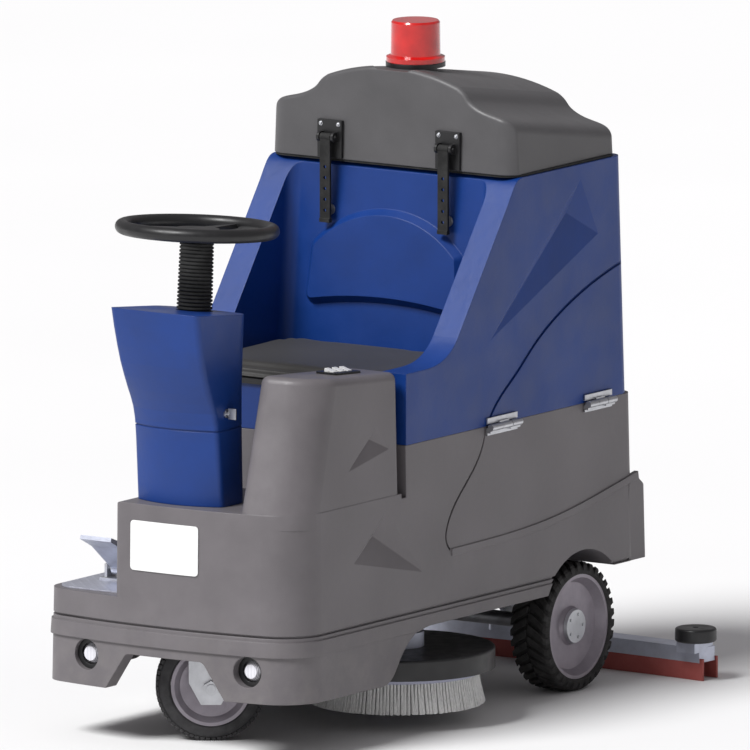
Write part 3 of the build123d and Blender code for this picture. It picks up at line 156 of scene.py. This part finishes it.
def moulding(name, colour, roughness=0.42, grain=0.00025, edge_light=0.5, floor_dust=0.35):
    """Rotomoulded plastic: fine pebbled grain, faint mottling, paler edges that are partly rubbed wear and
    partly a painted highlight, dust near the floor.
    """
    material, tree, bsdf = new_material(name)
    coords = object_coords(tree)
    mottle = ramp(tree, noise(tree, coords, 7.0, 5.0, 0.6), [(0.3, 0.86), (0.7, 1.1)])
    base = mix(tree, 1.0, colour, mottle, "MULTIPLY")
    pale = tuple(min(1.0, c * 1.7 + 0.04) for c in colour)
    # paler edges: partly rubbed wear, partly a painted highlight along every sharp edge
    edge_wear_and_highlight = maths(tree, "MULTIPLY", edge_mask(tree, 0.003), edge_light, clamp=True)
    base = mix(tree, edge_wear_and_highlight, base, pale)
    height_z = axis_value(tree, coords, "Z")
    low = maths(tree, "SUBTRACT", 1.0, maths(tree, "MULTIPLY", height_z, 3.2), clamp=True)
    streaks = ramp(tree, noise(tree, coords, 22.0, 6.0, 0.65), [(0.42, 0.0), (0.75, 1.0)])
    dusty = maths(tree, "MULTIPLY", maths(tree, "MULTIPLY", low, streaks), floor_dust, clamp=True)
    base = mix(tree, dusty, base, (0.30, 0.28, 0.26))
    link(tree, base, bsdf.inputs["Base Color"])
    shine = ramp(tree, noise(tree, coords, 14.0, 4.0), [(0.3, roughness - 0.05), (0.7, roughness + 0.09)])
    link(tree, shine, bsdf.inputs["Roughness"])
    bsdf.inputs["Specular IOR Level"].default_value = 0.45
    pebble = noise(tree, coords, 650.0, 3.0, 0.6)
    orange_peel = noise(tree, coords, 60.0, 2.0)
    height = maths(tree, "ADD", pebble, maths(tree, "MULTIPLY", orange_peel, 1.6))
    bump(tree, bsdf, height, grain, 0.8, soft_edge=0.0025)
    return material


def plastic(name, colour, roughness=0.35, scuff=0.12):
    """Smooth injection-moulded plastic with faint scuffs and paler edges, partly wear and partly a painted
    highlight.
    """
    material, tree, bsdf = new_material(name)
    coords = object_coords(tree)
    scuffs = ramp(tree, noise(tree, coords, 180.0, 8.0, 0.7, 1.2), [(0.55, 0.0), (0.8, 1.0)])
    pale = tuple(min(1.0, c * 1.5 + 0.03) for c in colour)
    base = mix(tree, maths(tree, "MULTIPLY", scuffs, scuff), colour, pale)
    # paler edges: partly rubbed wear, partly a painted highlight along every sharp edge
    edge_wear_and_highlight = maths(tree, "MULTIPLY", edge_mask(tree, 0.0015), 0.5, clamp=True)
    link(tree, mix(tree, edge_wear_and_highlight, base, pale), bsdf.inputs["Base Color"])
    shine = ramp(tree, noise(tree, coords, 40.0, 5.0), [(0.3, roughness - 0.06), (0.7, roughness + 0.1)])
    link(tree, shine, bsdf.inputs["Roughness"])
    bump(tree, bsdf, noise(tree, coords, 900.0, 2.0), 0.00006, 0.6, soft_edge=0.0012)
    return material


def metal(name, colour, roughness=0.35, brushed=(1.0, 30.0, 1.0), tarnish=0.25, metallic=1.0):
    """Bare or plated metal, drawn or brushed one way, with cloudy tarnish."""
    material, tree, bsdf = new_material(name)
    coords = object_coords(tree)
    stretch = tree.nodes.new("ShaderNodeMapping")
    stretch.inputs["Scale"].default_value = brushed
    link(tree, coords, stretch.inputs["Vector"])
    lines = noise(tree, stretch.outputs["Vector"], 60.0, 4.0, 0.6)
    cloud = ramp(tree, noise(tree, coords, 25.0, 6.0, 0.6), [(0.35, 1.0), (0.8, 1.0 - tarnish)])
    link(tree, mix(tree, 1.0, colour, cloud, "MULTIPLY"), bsdf.inputs["Base Color"])
    bsdf.inputs["Metallic"].default_value = metallic
    shine = ramp(tree, lines, [(0.3, roughness - 0.08), (0.7, roughness + 0.12)])
    link(tree, shine, bsdf.inputs["Roughness"])
    bump(tree, bsdf, lines, 0.00008, 0.7, soft_edge=0.001)
    return material


def rubber(name, colour, roughness=0.75, dust=0.3, grain=0.0003, grain_scale=350.0):
    """Matt rubber with a dusty bloom in random patches."""
    material, tree, bsdf = new_material(name)
    coords = object_coords(tree)
    bloom = ramp(tree, noise(tree, coords, 30.0, 6.0, 0.7), [(0.4, 0.0), (0.75, 1.0)])
    pale = tuple(c * 1.4 + 0.07 for c in colour)
    base = mix(tree, maths(tree, "MULTIPLY", bloom, dust), colour, pale)
    # paler edges: partly rubbed wear, partly a painted highlight along every sharp edge
    edge_wear_and_highlight = maths(tree, "MULTIPLY", edge_mask(tree, 0.002), 0.6, clamp=True)
    link(tree, mix(tree, edge_wear_and_highlight, base, pale), bsdf.inputs["Base Color"])
    bsdf.inputs["Roughness"].default_value = roughness
    bsdf.inputs["Specular IOR Level"].default_value = 0.3
    bump(tree, bsdf, noise(tree, coords, grain_scale, 4.0, 0.6), grain, 0.8, soft_edge=0.001)
    return material


def vinyl(name, colour):
    """Grained upholstery vinyl: pebbles of two sizes, soft sheen and rubbed high spots."""
    material, tree, bsdf = new_material(name)
    coords = object_coords(tree)
    cells = tree.nodes.new("ShaderNodeTexVoronoi")
    cells.inputs["Scale"].default_value = 420.0
    link(tree, coords, cells.inputs["Vector"])
    grain = maths(tree, "ADD", cells.outputs["Distance"], noise(tree, coords, 160.0, 4.0))
    worn = ramp(tree, noise(tree, coords, 9.0, 4.0), [(0.35, 0.85), (0.7, 1.25)])
    link(tree, mix(tree, 1.0, colour, worn, "MULTIPLY"), bsdf.inputs["Base Color"])
    bsdf.inputs["Roughness"].default_value = 0.5
    bsdf.inputs["Sheen Weight"].default_value = 0.15
    bump(tree, bsdf, grain, 0.00035, 0.7)
    return material


def tread_plate(name, colour):
    """Bright plate rolled with raised bars that alternate in direction."""
    material, tree, bsdf = new_material(name)
    coords = object_coords(tree)
    waves = []
    for turn in (45.0, -45.0):
        mapping = tree.nodes.new("ShaderNodeMapping")
        mapping.inputs["Rotation"].default_value = (0.0, 0.0, math.radians(turn))
        link(tree, coords, mapping.inputs["Vector"])
        wave = tree.nodes.new("ShaderNodeTexWave")
        wave.inputs["Scale"].default_value = 17.0
        link(tree, mapping.outputs["Vector"], wave.inputs["Vector"])
        waves.append(wave.outputs["Fac"])
    bars = ramp(tree, maths(tree, "MULTIPLY", waves[0], waves[1]), [(0.55, 0.0), (0.7, 1.0)])
    cloud = ramp(tree, noise(tree, coords, 12.0, 6.0), [(0.3, 0.8), (0.7, 1.05)])
    link(tree, mix(tree, 1.0, colour, cloud, "MULTIPLY"), bsdf.inputs["Base Color"])
    bsdf.inputs["Metallic"].default_value = 0.75
    bsdf.inputs["Roughness"].default_value = 0.4
    bump(tree, bsdf, bars, 0.0012, 0.9, soft_edge=0.001)
    return material


def red_lens(name):
    """Deep red translucent plastic, slightly uneven in depth and surface."""
    material, tree, bsdf = new_material(name)
    coords = object_coords(tree)
    thick_red, thin_red = (0.50, 0.004, 0.004), (0.68, 0.01, 0.008)
    depth = ramp(tree, noise(tree, coords, 30.0, 3.0), [(0.3, thick_red), (0.7, thin_red)])
    link(tree, depth, bsdf.inputs["Base Color"])
    bsdf.inputs["Roughness"].default_value = 0.18
    bsdf.inputs["Coat Weight"].default_value = 0.6
    bsdf.inputs["Subsurface Weight"].default_value = 0.2
    bsdf.inputs["Subsurface Radius"].default_value = (0.02, 0.002, 0.002)
    bump(tree, bsdf, noise(tree, coords, 120.0, 2.0), 0.0001, 0.5, soft_edge=0.002)
    return material


def clear_lens(name):
    """Prismatic clear lens of a headlight, its colour banded pale and dark along the prisms as painted glints
    and shade.
    """
    material, tree, bsdf = new_material(name)
    coords = object_coords(tree)
    wave = tree.nodes.new("ShaderNodeTexWave")
    wave.inputs["Scale"].default_value = 90.0
    link(tree, coords, wave.inputs["Vector"])
    # pale and dark bands along the prisms: painted glints and shade of the prism faces
    tone = ramp(tree, wave.outputs["Fac"], [(0.2, (0.55, 0.55, 0.60)), (0.8, (0.9, 0.9, 0.95))])
    link(tree, tone, bsdf.inputs["Base Color"])
    bsdf.inputs["Roughness"].default_value = 0.12
    bsdf.inputs["Coat Weight"].default_value = 0.8
    bump(tree, bsdf, wave.outputs["Fac"], 0.0004, 0.6)
    return material


def bristle_fibre(name, colour):
    """Nylon filament, its strands stained a little grey at random."""
    material, tree, bsdf = new_material(name)
    coords = object_coords(tree)
    stretch = tree.nodes.new("ShaderNodeMapping")
    stretch.inputs["Scale"].default_value = (1.0, 1.0, 0.04)
    link(tree, coords, stretch.inputs["Vector"])
    strands = noise(tree, stretch.outputs["Vector"], 700.0, 3.0, 0.6)
    tone = ramp(tree, strands, [(0.3, tuple(c * 0.62 for c in colour)), (0.7, colour)])
    link(tree, tone, bsdf.inputs["Base Color"])
    bsdf.inputs["Roughness"].default_value = 0.55
    bump(tree, bsdf, strands, 0.0012, 0.8)
    return material


GREY = moulding("grey_moulding", (0.145, 0.134, 0.142))
BLUE = moulding("blue_moulding", (0.003, 0.036, 0.205), roughness=0.40, floor_dust=0.0, edge_light=0.35)
LID = moulding("lid_moulding", (0.092, 0.090, 0.094), floor_dust=0.0)
BLACK = plastic("black_plastic", (0.012, 0.012, 0.013), 0.38)
WHITE = plastic("white_plastic", (0.80, 0.80, 0.80), 0.3, 0.05)
PLATE = plastic("blank_plate", (0.86, 0.87, 0.86), 0.25, 0.05)
STEEL = metal("zinc_steel", (0.60, 0.61, 0.64), 0.36)
PAD_METAL = metal("pad_metal", (0.62, 0.65, 0.76), 0.42, metallic=0.7)
WHEEL_PAINT = metal("wheel_paint", (0.34, 0.31, 0.35), 0.45, metallic=0.6)
FRAME_PAINT = plastic("frame_paint", (0.02, 0.02, 0.022), 0.5)
RUBBER = rubber("black_rubber", (0.014, 0.014, 0.014))
TYRE = rubber("tyre_rubber", (0.022, 0.021, 0.021), 0.8, 0.45, 0.0005, 220.0)
FRONT_TYRE = rubber("front_tyre_rubber", (0.035, 0.034, 0.036), 0.7, 0.4)
BLADE = rubber("blade_rubber", (0.36, 0.085, 0.075), 0.6, 0.25)
SEAT = vinyl("seat_vinyl", (0.017, 0.016, 0.015))
TREAD = tread_plate("tread_plate", (0.66, 0.68, 0.78))
LENS = red_lens("beacon_red")
CLEAR = clear_lens("headlight_clear")
BRISTLE = bristle_fibre("nylon_bristle", (0.88, 0.88, 0.87))
BRUSH_PLATE = plastic("brush_plate", (0.42, 0.43, 0.56), 0.4)

SLOT_MATERIALS = {
    "grey_moulding": GREY, "blue_moulding": BLUE, "lid_moulding": LID, "black_plastic": BLACK,
    "rubber": RUBBER, "tyre": TYRE, "squeegee_rubber": BLADE, "zinc_steel": STEEL,
    "wheel_paint": WHEEL_PAINT, "frame_paint": FRAME_PAINT, "tread_plate": TREAD, "pad_metal": PAD_METAL,
    "red_lens": LENS, "clear_lens": CLEAR, "seat_vinyl": SEAT, "white_plate": PLATE,
    "white_plastic": WHITE, "bristle": BRISTLE, "battery_case": BLACK, "brush_plate": BRUSH_PLATE,
}


def paint_cad_nodes():
    """Every carried CAD node takes the detailed material of its record slot."""
    for part in record["subparts"]:
        node = nodes[part["node"]]
        node.data.materials.clear()
        node.data.materials.append(SLOT_MATERIALS[part["material_slot"]])


paint_cad_nodes()


# ------------------------------------------------------------------ pieces
def new_piece(name, bm, material, body, smooth_angle=35.0):
    """A finished mesh as a piece that rides on a body, with the given material and smooth shading by angle.
    """
    mesh = bpy.data.meshes.new(name)
    bmesh.ops.recalc_face_normals(bm, faces=bm.faces)
    bm.to_mesh(mesh)
    bm.free()
    piece = bpy.data.objects.new(name, mesh)
    bpy.context.scene.collection.objects.link(piece)
    mesh.materials.append(material)
    for polygon in mesh.polygons:
        polygon.use_smooth = True
    mesh.set_sharp_from_angle(angle=math.radians(smooth_angle))
    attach(piece, body)
    return piece


def add_loops(bm, loops, closed=True, caps=True):
    """Skins a row of equal vertex rings, with end caps if asked."""
    rings = [[bm.verts.new(point) for point in loop] for loop in loops]
    for ring_a, ring_b in zip(rings, rings[1:]):
        count = len(ring_a)
        for k in range(count if closed else count - 1):
            nxt = (k + 1) % count
            bm.faces.new((ring_a[k], ring_a[nxt], ring_b[nxt], ring_b[k]))
    if caps:
        bm.faces.new(list(reversed(rings[0])))
        bm.faces.new(rings[-1])
    return rings


def revolve(bm, profile, frame_of, steps=96):
    """Turns a closed (radius, along) profile round an axis: frame_of(angle, radius, along) gives points."""
    rings = []
    for k in range(steps):
        angle = 2 * math.pi * k / steps
        rings.append([bm.verts.new(frame_of(angle, radius, along)) for radius, along in profile])
    for k in range(steps):
        ring_a, ring_b = rings[k], rings[(k + 1) % steps]
        for i in range(len(profile)):
            j = (i + 1) % len(profile)
            bm.faces.new((ring_a[i], ring_b[i], ring_b[j], ring_a[j]))


def rear_tyre(side, node, body):
    """Solid tyre with slanted shoulder lugs that meet in a herringbone on the centre line."""
    low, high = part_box(node)
    centre = (low + high) / 2
    radius = (high.z - low.z) / 2
    half = (high.x - low.x) / 2
    rim_r = radius - 0.025  # the tyre is 25 mm deep
    lug_depth = 0.008
    lugs = 34

    def place(angle, r, along):
        return Vector((centre.x + along, centre.y + r * math.cos(angle), centre.z + r * math.sin(angle)))

    bm = bmesh.new()
    base_r = radius - lug_depth
    shoulder = 0.010
    profile = [
        (rim_r, -half + 0.004), (rim_r + 0.004, -half + 0.001), (base_r - shoulder, -half + 0.0015),
        (base_r - 0.003, -half + 0.005), (base_r, -half + shoulder), (base_r, half - shoulder),
        (base_r - 0.003, half - 0.005), (base_r - shoulder, half - 0.0015), (rim_r + 0.004, half - 0.001),
        (rim_r, half - 0.004),
    ]
    revolve(bm, profile, place, 120)
    pitch = 2 * math.pi / lugs
    for hand in (-1, 1):
        for k in range(lugs):
            start = k * pitch + (0.5 * pitch if hand > 0 else 0.0)
            loops = []
            stations = [
                (0.002, radius - 0.0004, 0.0), (0.016, radius - 0.0002, 0.30), (0.030, radius - 0.0004, 0.62),
                (half - 0.006, radius - 0.002, 0.95), (half - 0.0015, radius - 0.007, 1.05),
                (half - 0.0008, radius - 0.018, 1.05),
            ]
            for along, top_r, turn in stations:
                angle = start + turn * pitch * 1.1
                half_turn = 0.33 * pitch if along < half - 0.01 else 0.30 * pitch
                deep = base_r - 0.003 if along < half - 0.004 else top_r - 0.006
                inner = along if along < half - 0.002 else along - 0.004
                loops.append(
                    [
                        place(angle - half_turn, deep, hand * inner),
                        place(angle - 0.86 * half_turn, top_r, hand * along),
                        place(angle + 0.86 * half_turn, top_r, hand * along),
                        place(angle + half_turn, deep, hand * inner),
                    ]
                )
            add_loops(bm, loops)
    piece = new_piece(f"tread_tyre_{side}", bm, TYRE, body, 30.0)
    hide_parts(node)
    return piece


def front_tyre():
    """Front tyre with a fine block tread on its crown, standing across the steered axle."""
    low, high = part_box("front_tyre")
    centre = (low + high) / 2
    radius = (high.z - low.z) / 2
    rim_low, rim_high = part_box("front_rim")
    rim_r = (rim_high.z - rim_low.z) / 2 + 0.0003
    way = Vector((math.cos(STEER_REST), -math.sin(STEER_REST), 0.0))
    across = Vector((-way.y, way.x, 0.0))
    half = 0.031  # half the tyre's width, which its box doesn't give because it stands turned
    up = Vector((0.0, 0.0, 1.0))

    def place(angle, r, along):
        return centre + way * along + across * (r * math.cos(angle)) + up * (r * math.sin(angle))

    bm = bmesh.new()
    groove_r = radius - 0.004
    profile = [
        (rim_r, -half + 0.003), (rim_r + 0.004, -half + 0.0006), (groove_r - 0.012, -half + 0.0006),
        (groove_r - 0.003, -half + 0.005), (groove_r, -half + 0.010), (groove_r, half - 0.010),
        (groove_r - 0.003, half - 0.005), (groove_r - 0.012, half - 0.0006), (rim_r + 0.004, half - 0.0006),
        (rim_r, half - 0.003),
    ]
    revolve(bm, profile, place, 96)
    blocks = 60
    pitch = 2 * math.pi / blocks
    for row, along in enumerate((-0.021, -0.0075, 0.0075, 0.021)):
        for k in range(blocks):
            middle = (k + 0.5 * (row % 2)) * pitch
            loops = []
            for r, share in ((groove_r - 0.002, 0.40), (radius - 0.0012, 0.36), (radius - 0.0003, 0.32)):
                reach = 0.0058 * share / 0.36
                turn = share * pitch
                loops.append(
                    [
                        place(middle - turn, r, along - reach), place(middle + turn, r, along - reach),
                        place(middle + turn, r, along + reach), place(middle - turn, r, along + reach),
                    ]
                )
            add_loops(bm, loops)
    piece = new_piece("front_tread_tyre", bm, FRONT_TYRE, "front_wheel", 30.0)
    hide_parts("front_tyre")


def bristle_ring(side, node, body):
    """Rings of nylon tufts that splay outwards to the floor."""
    low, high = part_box(node)
    centre = (low + high) / 2
    foot_r = (high.x - low.x) / 2
    rng = random.Random(11 if side == "left" else 12)
    bm = bmesh.new()
    outer_ring_r, ring_step, inner_rings = foot_r - 0.0165, 0.0125, 5
    outer_tufts, outer_tuft_r, inner_tuft_r, tuft_pitch = 150, 0.0036, 0.0042, 0.0155
    upright_r, splay_span, most_splay = 0.118, 0.045, 0.0112
    for number in range(inner_rings + 1):
        ring_r = outer_ring_r - ring_step * number
        tuft_r = inner_tuft_r if number else outer_tuft_r
        count = int(2 * math.pi * ring_r / tuft_pitch) if number else outer_tufts
        splay = most_splay * (ring_r - upright_r) / splay_span
        for k in range(count):
            angle = 2 * math.pi * (k + 0.15 * rng.random()) / count
            lean = splay + rng.uniform(-0.0012, 0.0008)
            swirl = rng.uniform(-0.012, 0.012)
            loops = []
            for level, size in ((0.0, 0.75), (0.35, 0.85), (0.72, 0.98), (1.0, 1.0)):
                r = ring_r + lean * level ** 1.4
                a = angle + swirl * level
                x, y = centre.x + r * math.cos(a), centre.y + r * math.sin(a)
                z = high.z - 0.0005 - (high.z - low.z - 0.0012 - rng.uniform(0, 0.0008)) * level
                loops.append(
                    [
                        (x + tuft_r * size * math.cos(t), y + tuft_r * size * math.sin(t), z)
                        for t in [a + 2 * math.pi * q / 6 for q in range(6)]
                    ]
                )
            add_loops(bm, loops)
    piece = new_piece(f"bristle_tufts_{side}", bm, BRISTLE, body, 60.0)
    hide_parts(node)
    return piece


def settled_mesh(piece):
    """The piece's mesh with its modifiers worked in."""
    depsgraph = bpy.context.evaluated_depsgraph_get()
    depsgraph.update()
    return bpy.data.meshes.new_from_object(piece.evaluated_get(depsgraph))


def seat_pad():
    """Vinyl seat cushion: inflated over its base, with a pressed seam inside its edge."""
    low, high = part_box("seat_cushion")
    centre = (low + high) / 2
    size = high - low
    bm = bmesh.new()
    bmesh.ops.create_cube(bm, size=1.0)
    for vertex in bm.verts:
        vertex.co = Vector(
            (
                centre.x + vertex.co.x * (size.x - 0.010),
                centre.y + vertex.co.y * (size.y - 0.010),
                centre.z - 0.002 + vertex.co.z * (size.z - 0.006),
            )
        )
    upright = [e for e in bm.edges if abs(e.verts[0].co.z - e.verts[1].co.z) > size.z * 0.5]
    bmesh.ops.bevel(bm, geom=upright, offset=0.036, segments=8, affect="EDGES", profile=0.5)
    mesh = bpy.data.meshes.new("seat_pad")
    bm.to_mesh(mesh)
    bm.free()
    pad = bpy.data.objects.new("seat_pad", mesh)
    bpy.context.scene.collection.objects.link(pad)
    remesh = pad.modifiers.new("remesh", "REMESH")
    remesh.mode = "VOXEL"
    remesh.voxel_size = 0.005
    pad.data = settled_mesh(pad)
    pad.modifiers.clear()
    foot = min(v.co.z for v in pad.data.vertices)
    held = pad.vertex_groups.new(name="held")
    held.add([v.index for v in pad.data.vertices if v.co.z < foot + 0.004], 1.0, "REPLACE")
    start = [v.co.copy() for v in pad.data.vertices]
    cloth = pad.modifiers.new("cloth", "CLOTH")
    cloth.settings.use_pressure = True
    cloth.settings.uniform_pressure_force = 4.0
    cloth.settings.effector_weights.gravity = 0.0
    cloth.settings.vertex_group_mass = "held"
    cloth.point_cache.frame_start = 1
    cloth.point_cache.frame_end = 20
    for step in range(1, 21):
        bpy.context.scene.frame_set(step)
    settled = settled_mesh(pad)
    swell_cap = 0.009
    moved = [v.co - s for v, s in zip(settled.vertices, start)]
    pad.modifiers.clear()
    for vertex, origin, shift in zip(pad.data.vertices, start, moved):
        vertex.co = origin + (shift if shift.length < swell_cap else shift.normalized() * swell_cap)
    bpy.context.scene.frame_set(1)
    seam_inset, seam_width, seam_depth = 0.026, 0.0035, 0.0035
    for vertex in pad.data.vertices:
        if vertex.co.z < centre.z:
            continue
        edge = min(size.x / 2 - abs(vertex.co.x - centre.x), size.y / 2 - abs(vertex.co.y - centre.y))
        away = (edge - seam_inset) / seam_width
        vertex.co.z -= seam_depth * math.exp(-away * away)
    for polygon in pad.data.polygons:
        polygon.use_smooth = True
    pad.data.materials.clear()
    pad.data.materials.append(SEAT)
    smooth = pad.modifiers.new("smooth", "SUBSURF")
    smooth.levels = 1
    smooth.render_levels = 1
    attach(pad, "tank")
    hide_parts("seat_cushion")


def add_bolt(bm, centre, axis, radius, height):
    """A hexagon head on a washer, with a chamfered crown, standing along axis."""
    axis = Vector(axis).normalized()
    side = axis.orthogonal().normalized()
    up = axis.cross(side)
    centre = Vector(centre)

    def ring(r, along, count, turn=0.0):
        return [
            centre + axis * along + side * r * math.cos(turn + 2 * math.pi * k / count)
            + up * r * math.sin(turn + 2 * math.pi * k / count)
            for k in range(count)
        ]

    washer = radius * 1.45
    washer_rim = ring(washer, height * 0.18, 24)
    add_loops(bm, [ring(washer, 0, 24), washer_rim, ring(washer * 0.93, height * 0.24, 24)])
    add_loops(
        bm,
        [
            ring(radius, height * 0.2, 6), ring(radius, height * 0.85, 6), ring(radius * 0.84, height, 6),
        ],
    )


def hardware():
    """Bolts, screws and lug nuts on the bodies that carry them."""
    bm = bmesh.new()
    low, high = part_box("name_plate")
    inset, plate_bow, screw_height = 0.009, 0.004, 0.0016
    for x in (low.x + inset, high.x - inset):
        for z in (low.z + inset, high.z - inset):
            foot_y = low.y + screw_height + plate_bow
            add_bolt(bm, (x, foot_y, z), (0, -1, 0), 0.0022, screw_height)
    new_piece("plate_screws", bm, STEEL, "chassis")
    for side, sign in (("left", 1), ("right", -1)):
        low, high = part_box(f"hub_cap_{side}")
        centre = (low + high) / 2
        foot_x = (high.x if sign > 0 else low.x) - sign * 0.001
        bolts, circle_r = 5, 0.024
        bm = bmesh.new()
        for k in range(bolts):
            angle = 2 * math.pi * k / bolts
            spot = (foot_x, centre.y + circle_r * math.cos(angle), centre.z + circle_r * math.sin(angle))
            add_bolt(bm, spot, (sign, 0, 0), 0.0035, 0.003)
        new_piece(f"hub_bolts_{side}", bm, STEEL, f"rear_wheel_{side}")
    bm = bmesh.new()
    latch_x, screw_shift, bracket_proud = 0.142, 0.021, 0.0058
    front_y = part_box("tank_lid")[0].y - bracket_proud
    screw_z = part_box("latch_brackets")[1].z - 0.008
    for x in (-latch_x, latch_x):
        for shift in (-screw_shift, screw_shift):
            add_bolt(bm, (x + shift, front_y, screw_z), (0, -1, 0), 0.0032, 0.003)
    new_piece("latch_screws", bm, STEEL, "lid")


for side in ("left", "right"):
    rear_tyre(side, f"rear_tyre_{side}", f"rear_wheel_{side}")
    bristle_ring(side, f"bristles_{side}", f"brush_{side}")
front_tyre()
seat_pad()
hardware()


# ------------------------------------------------------------------ stage, light and camera
def build_stage():
    """A plain pale floor, a dim even sky and one soft sun."""
    bpy.ops.mesh.primitive_plane_add(size=60.0, location=(0.0, 0.0, 0.0))
    floor = bpy.context.active_object
    floor.name = "studio_floor"
    material, tree, bsdf = new_material("studio_floor")
    soft = ramp(tree, noise(tree, object_coords(tree), 0.6, 2.0), [(0.3, 0.86), (0.7, 0.88)])
    link(tree, soft, bsdf.inputs["Base Color"])
    bsdf.inputs["Roughness"].default_value = 0.9
    bsdf.inputs["Specular IOR Level"].default_value = 0.1
    floor.data.materials.append(material)
    world = bpy.data.worlds.new("studio")
    world.use_nodes = True
    world.node_tree.nodes["Background"].inputs["Color"].default_value = (1.0, 0.97, 1.0, 1.0)
    world.node_tree.nodes["Background"].inputs["Strength"].default_value = 0.28
    bpy.context.scene.world = world
    sun_data = bpy.data.lights.new("sun", "SUN")
    sun_data.energy = 3.6
    sun_data.angle = math.radians(24.0)
    sun = bpy.data.objects.new("sun", sun_data)
    bpy.context.scene.collection.objects.link(sun)
    sun.rotation_euler = Vector((0.28, 0.92, -1.15)).to_track_quat("-Z", "Y").to_euler()
    scene = bpy.context.scene
    scene.view_settings.view_transform = "Standard"
    scene.view_settings.look = "None"


def build_camera():
    """A long lens from the front left, a little above the bumper, as a product picture is taken."""
    azimuth, elevation = math.radians(34.0), math.radians(9.15)
    lens, sensor, view_width = 1600.0, 36.0, 1.5
    target = Vector((0.0, 0.094, 0.655))
    back = Vector(
        (
            math.sin(azimuth) * math.cos(elevation),
            -math.cos(azimuth) * math.cos(elevation),
            math.sin(elevation),
        )
    )
    data = bpy.data.cameras.new("camera")
    data.lens = lens
    data.sensor_width = sensor
    camera = bpy.data.objects.new("camera", data)
    bpy.context.scene.collection.objects.link(camera)
    camera.location = target + back * (view_width * lens / sensor)
    camera.rotation_euler = (-back).to_track_quat("-Z", "Y").to_euler()
    data.clip_end = 500.0
    bpy.context.scene.camera = camera


build_stage()
build_camera()
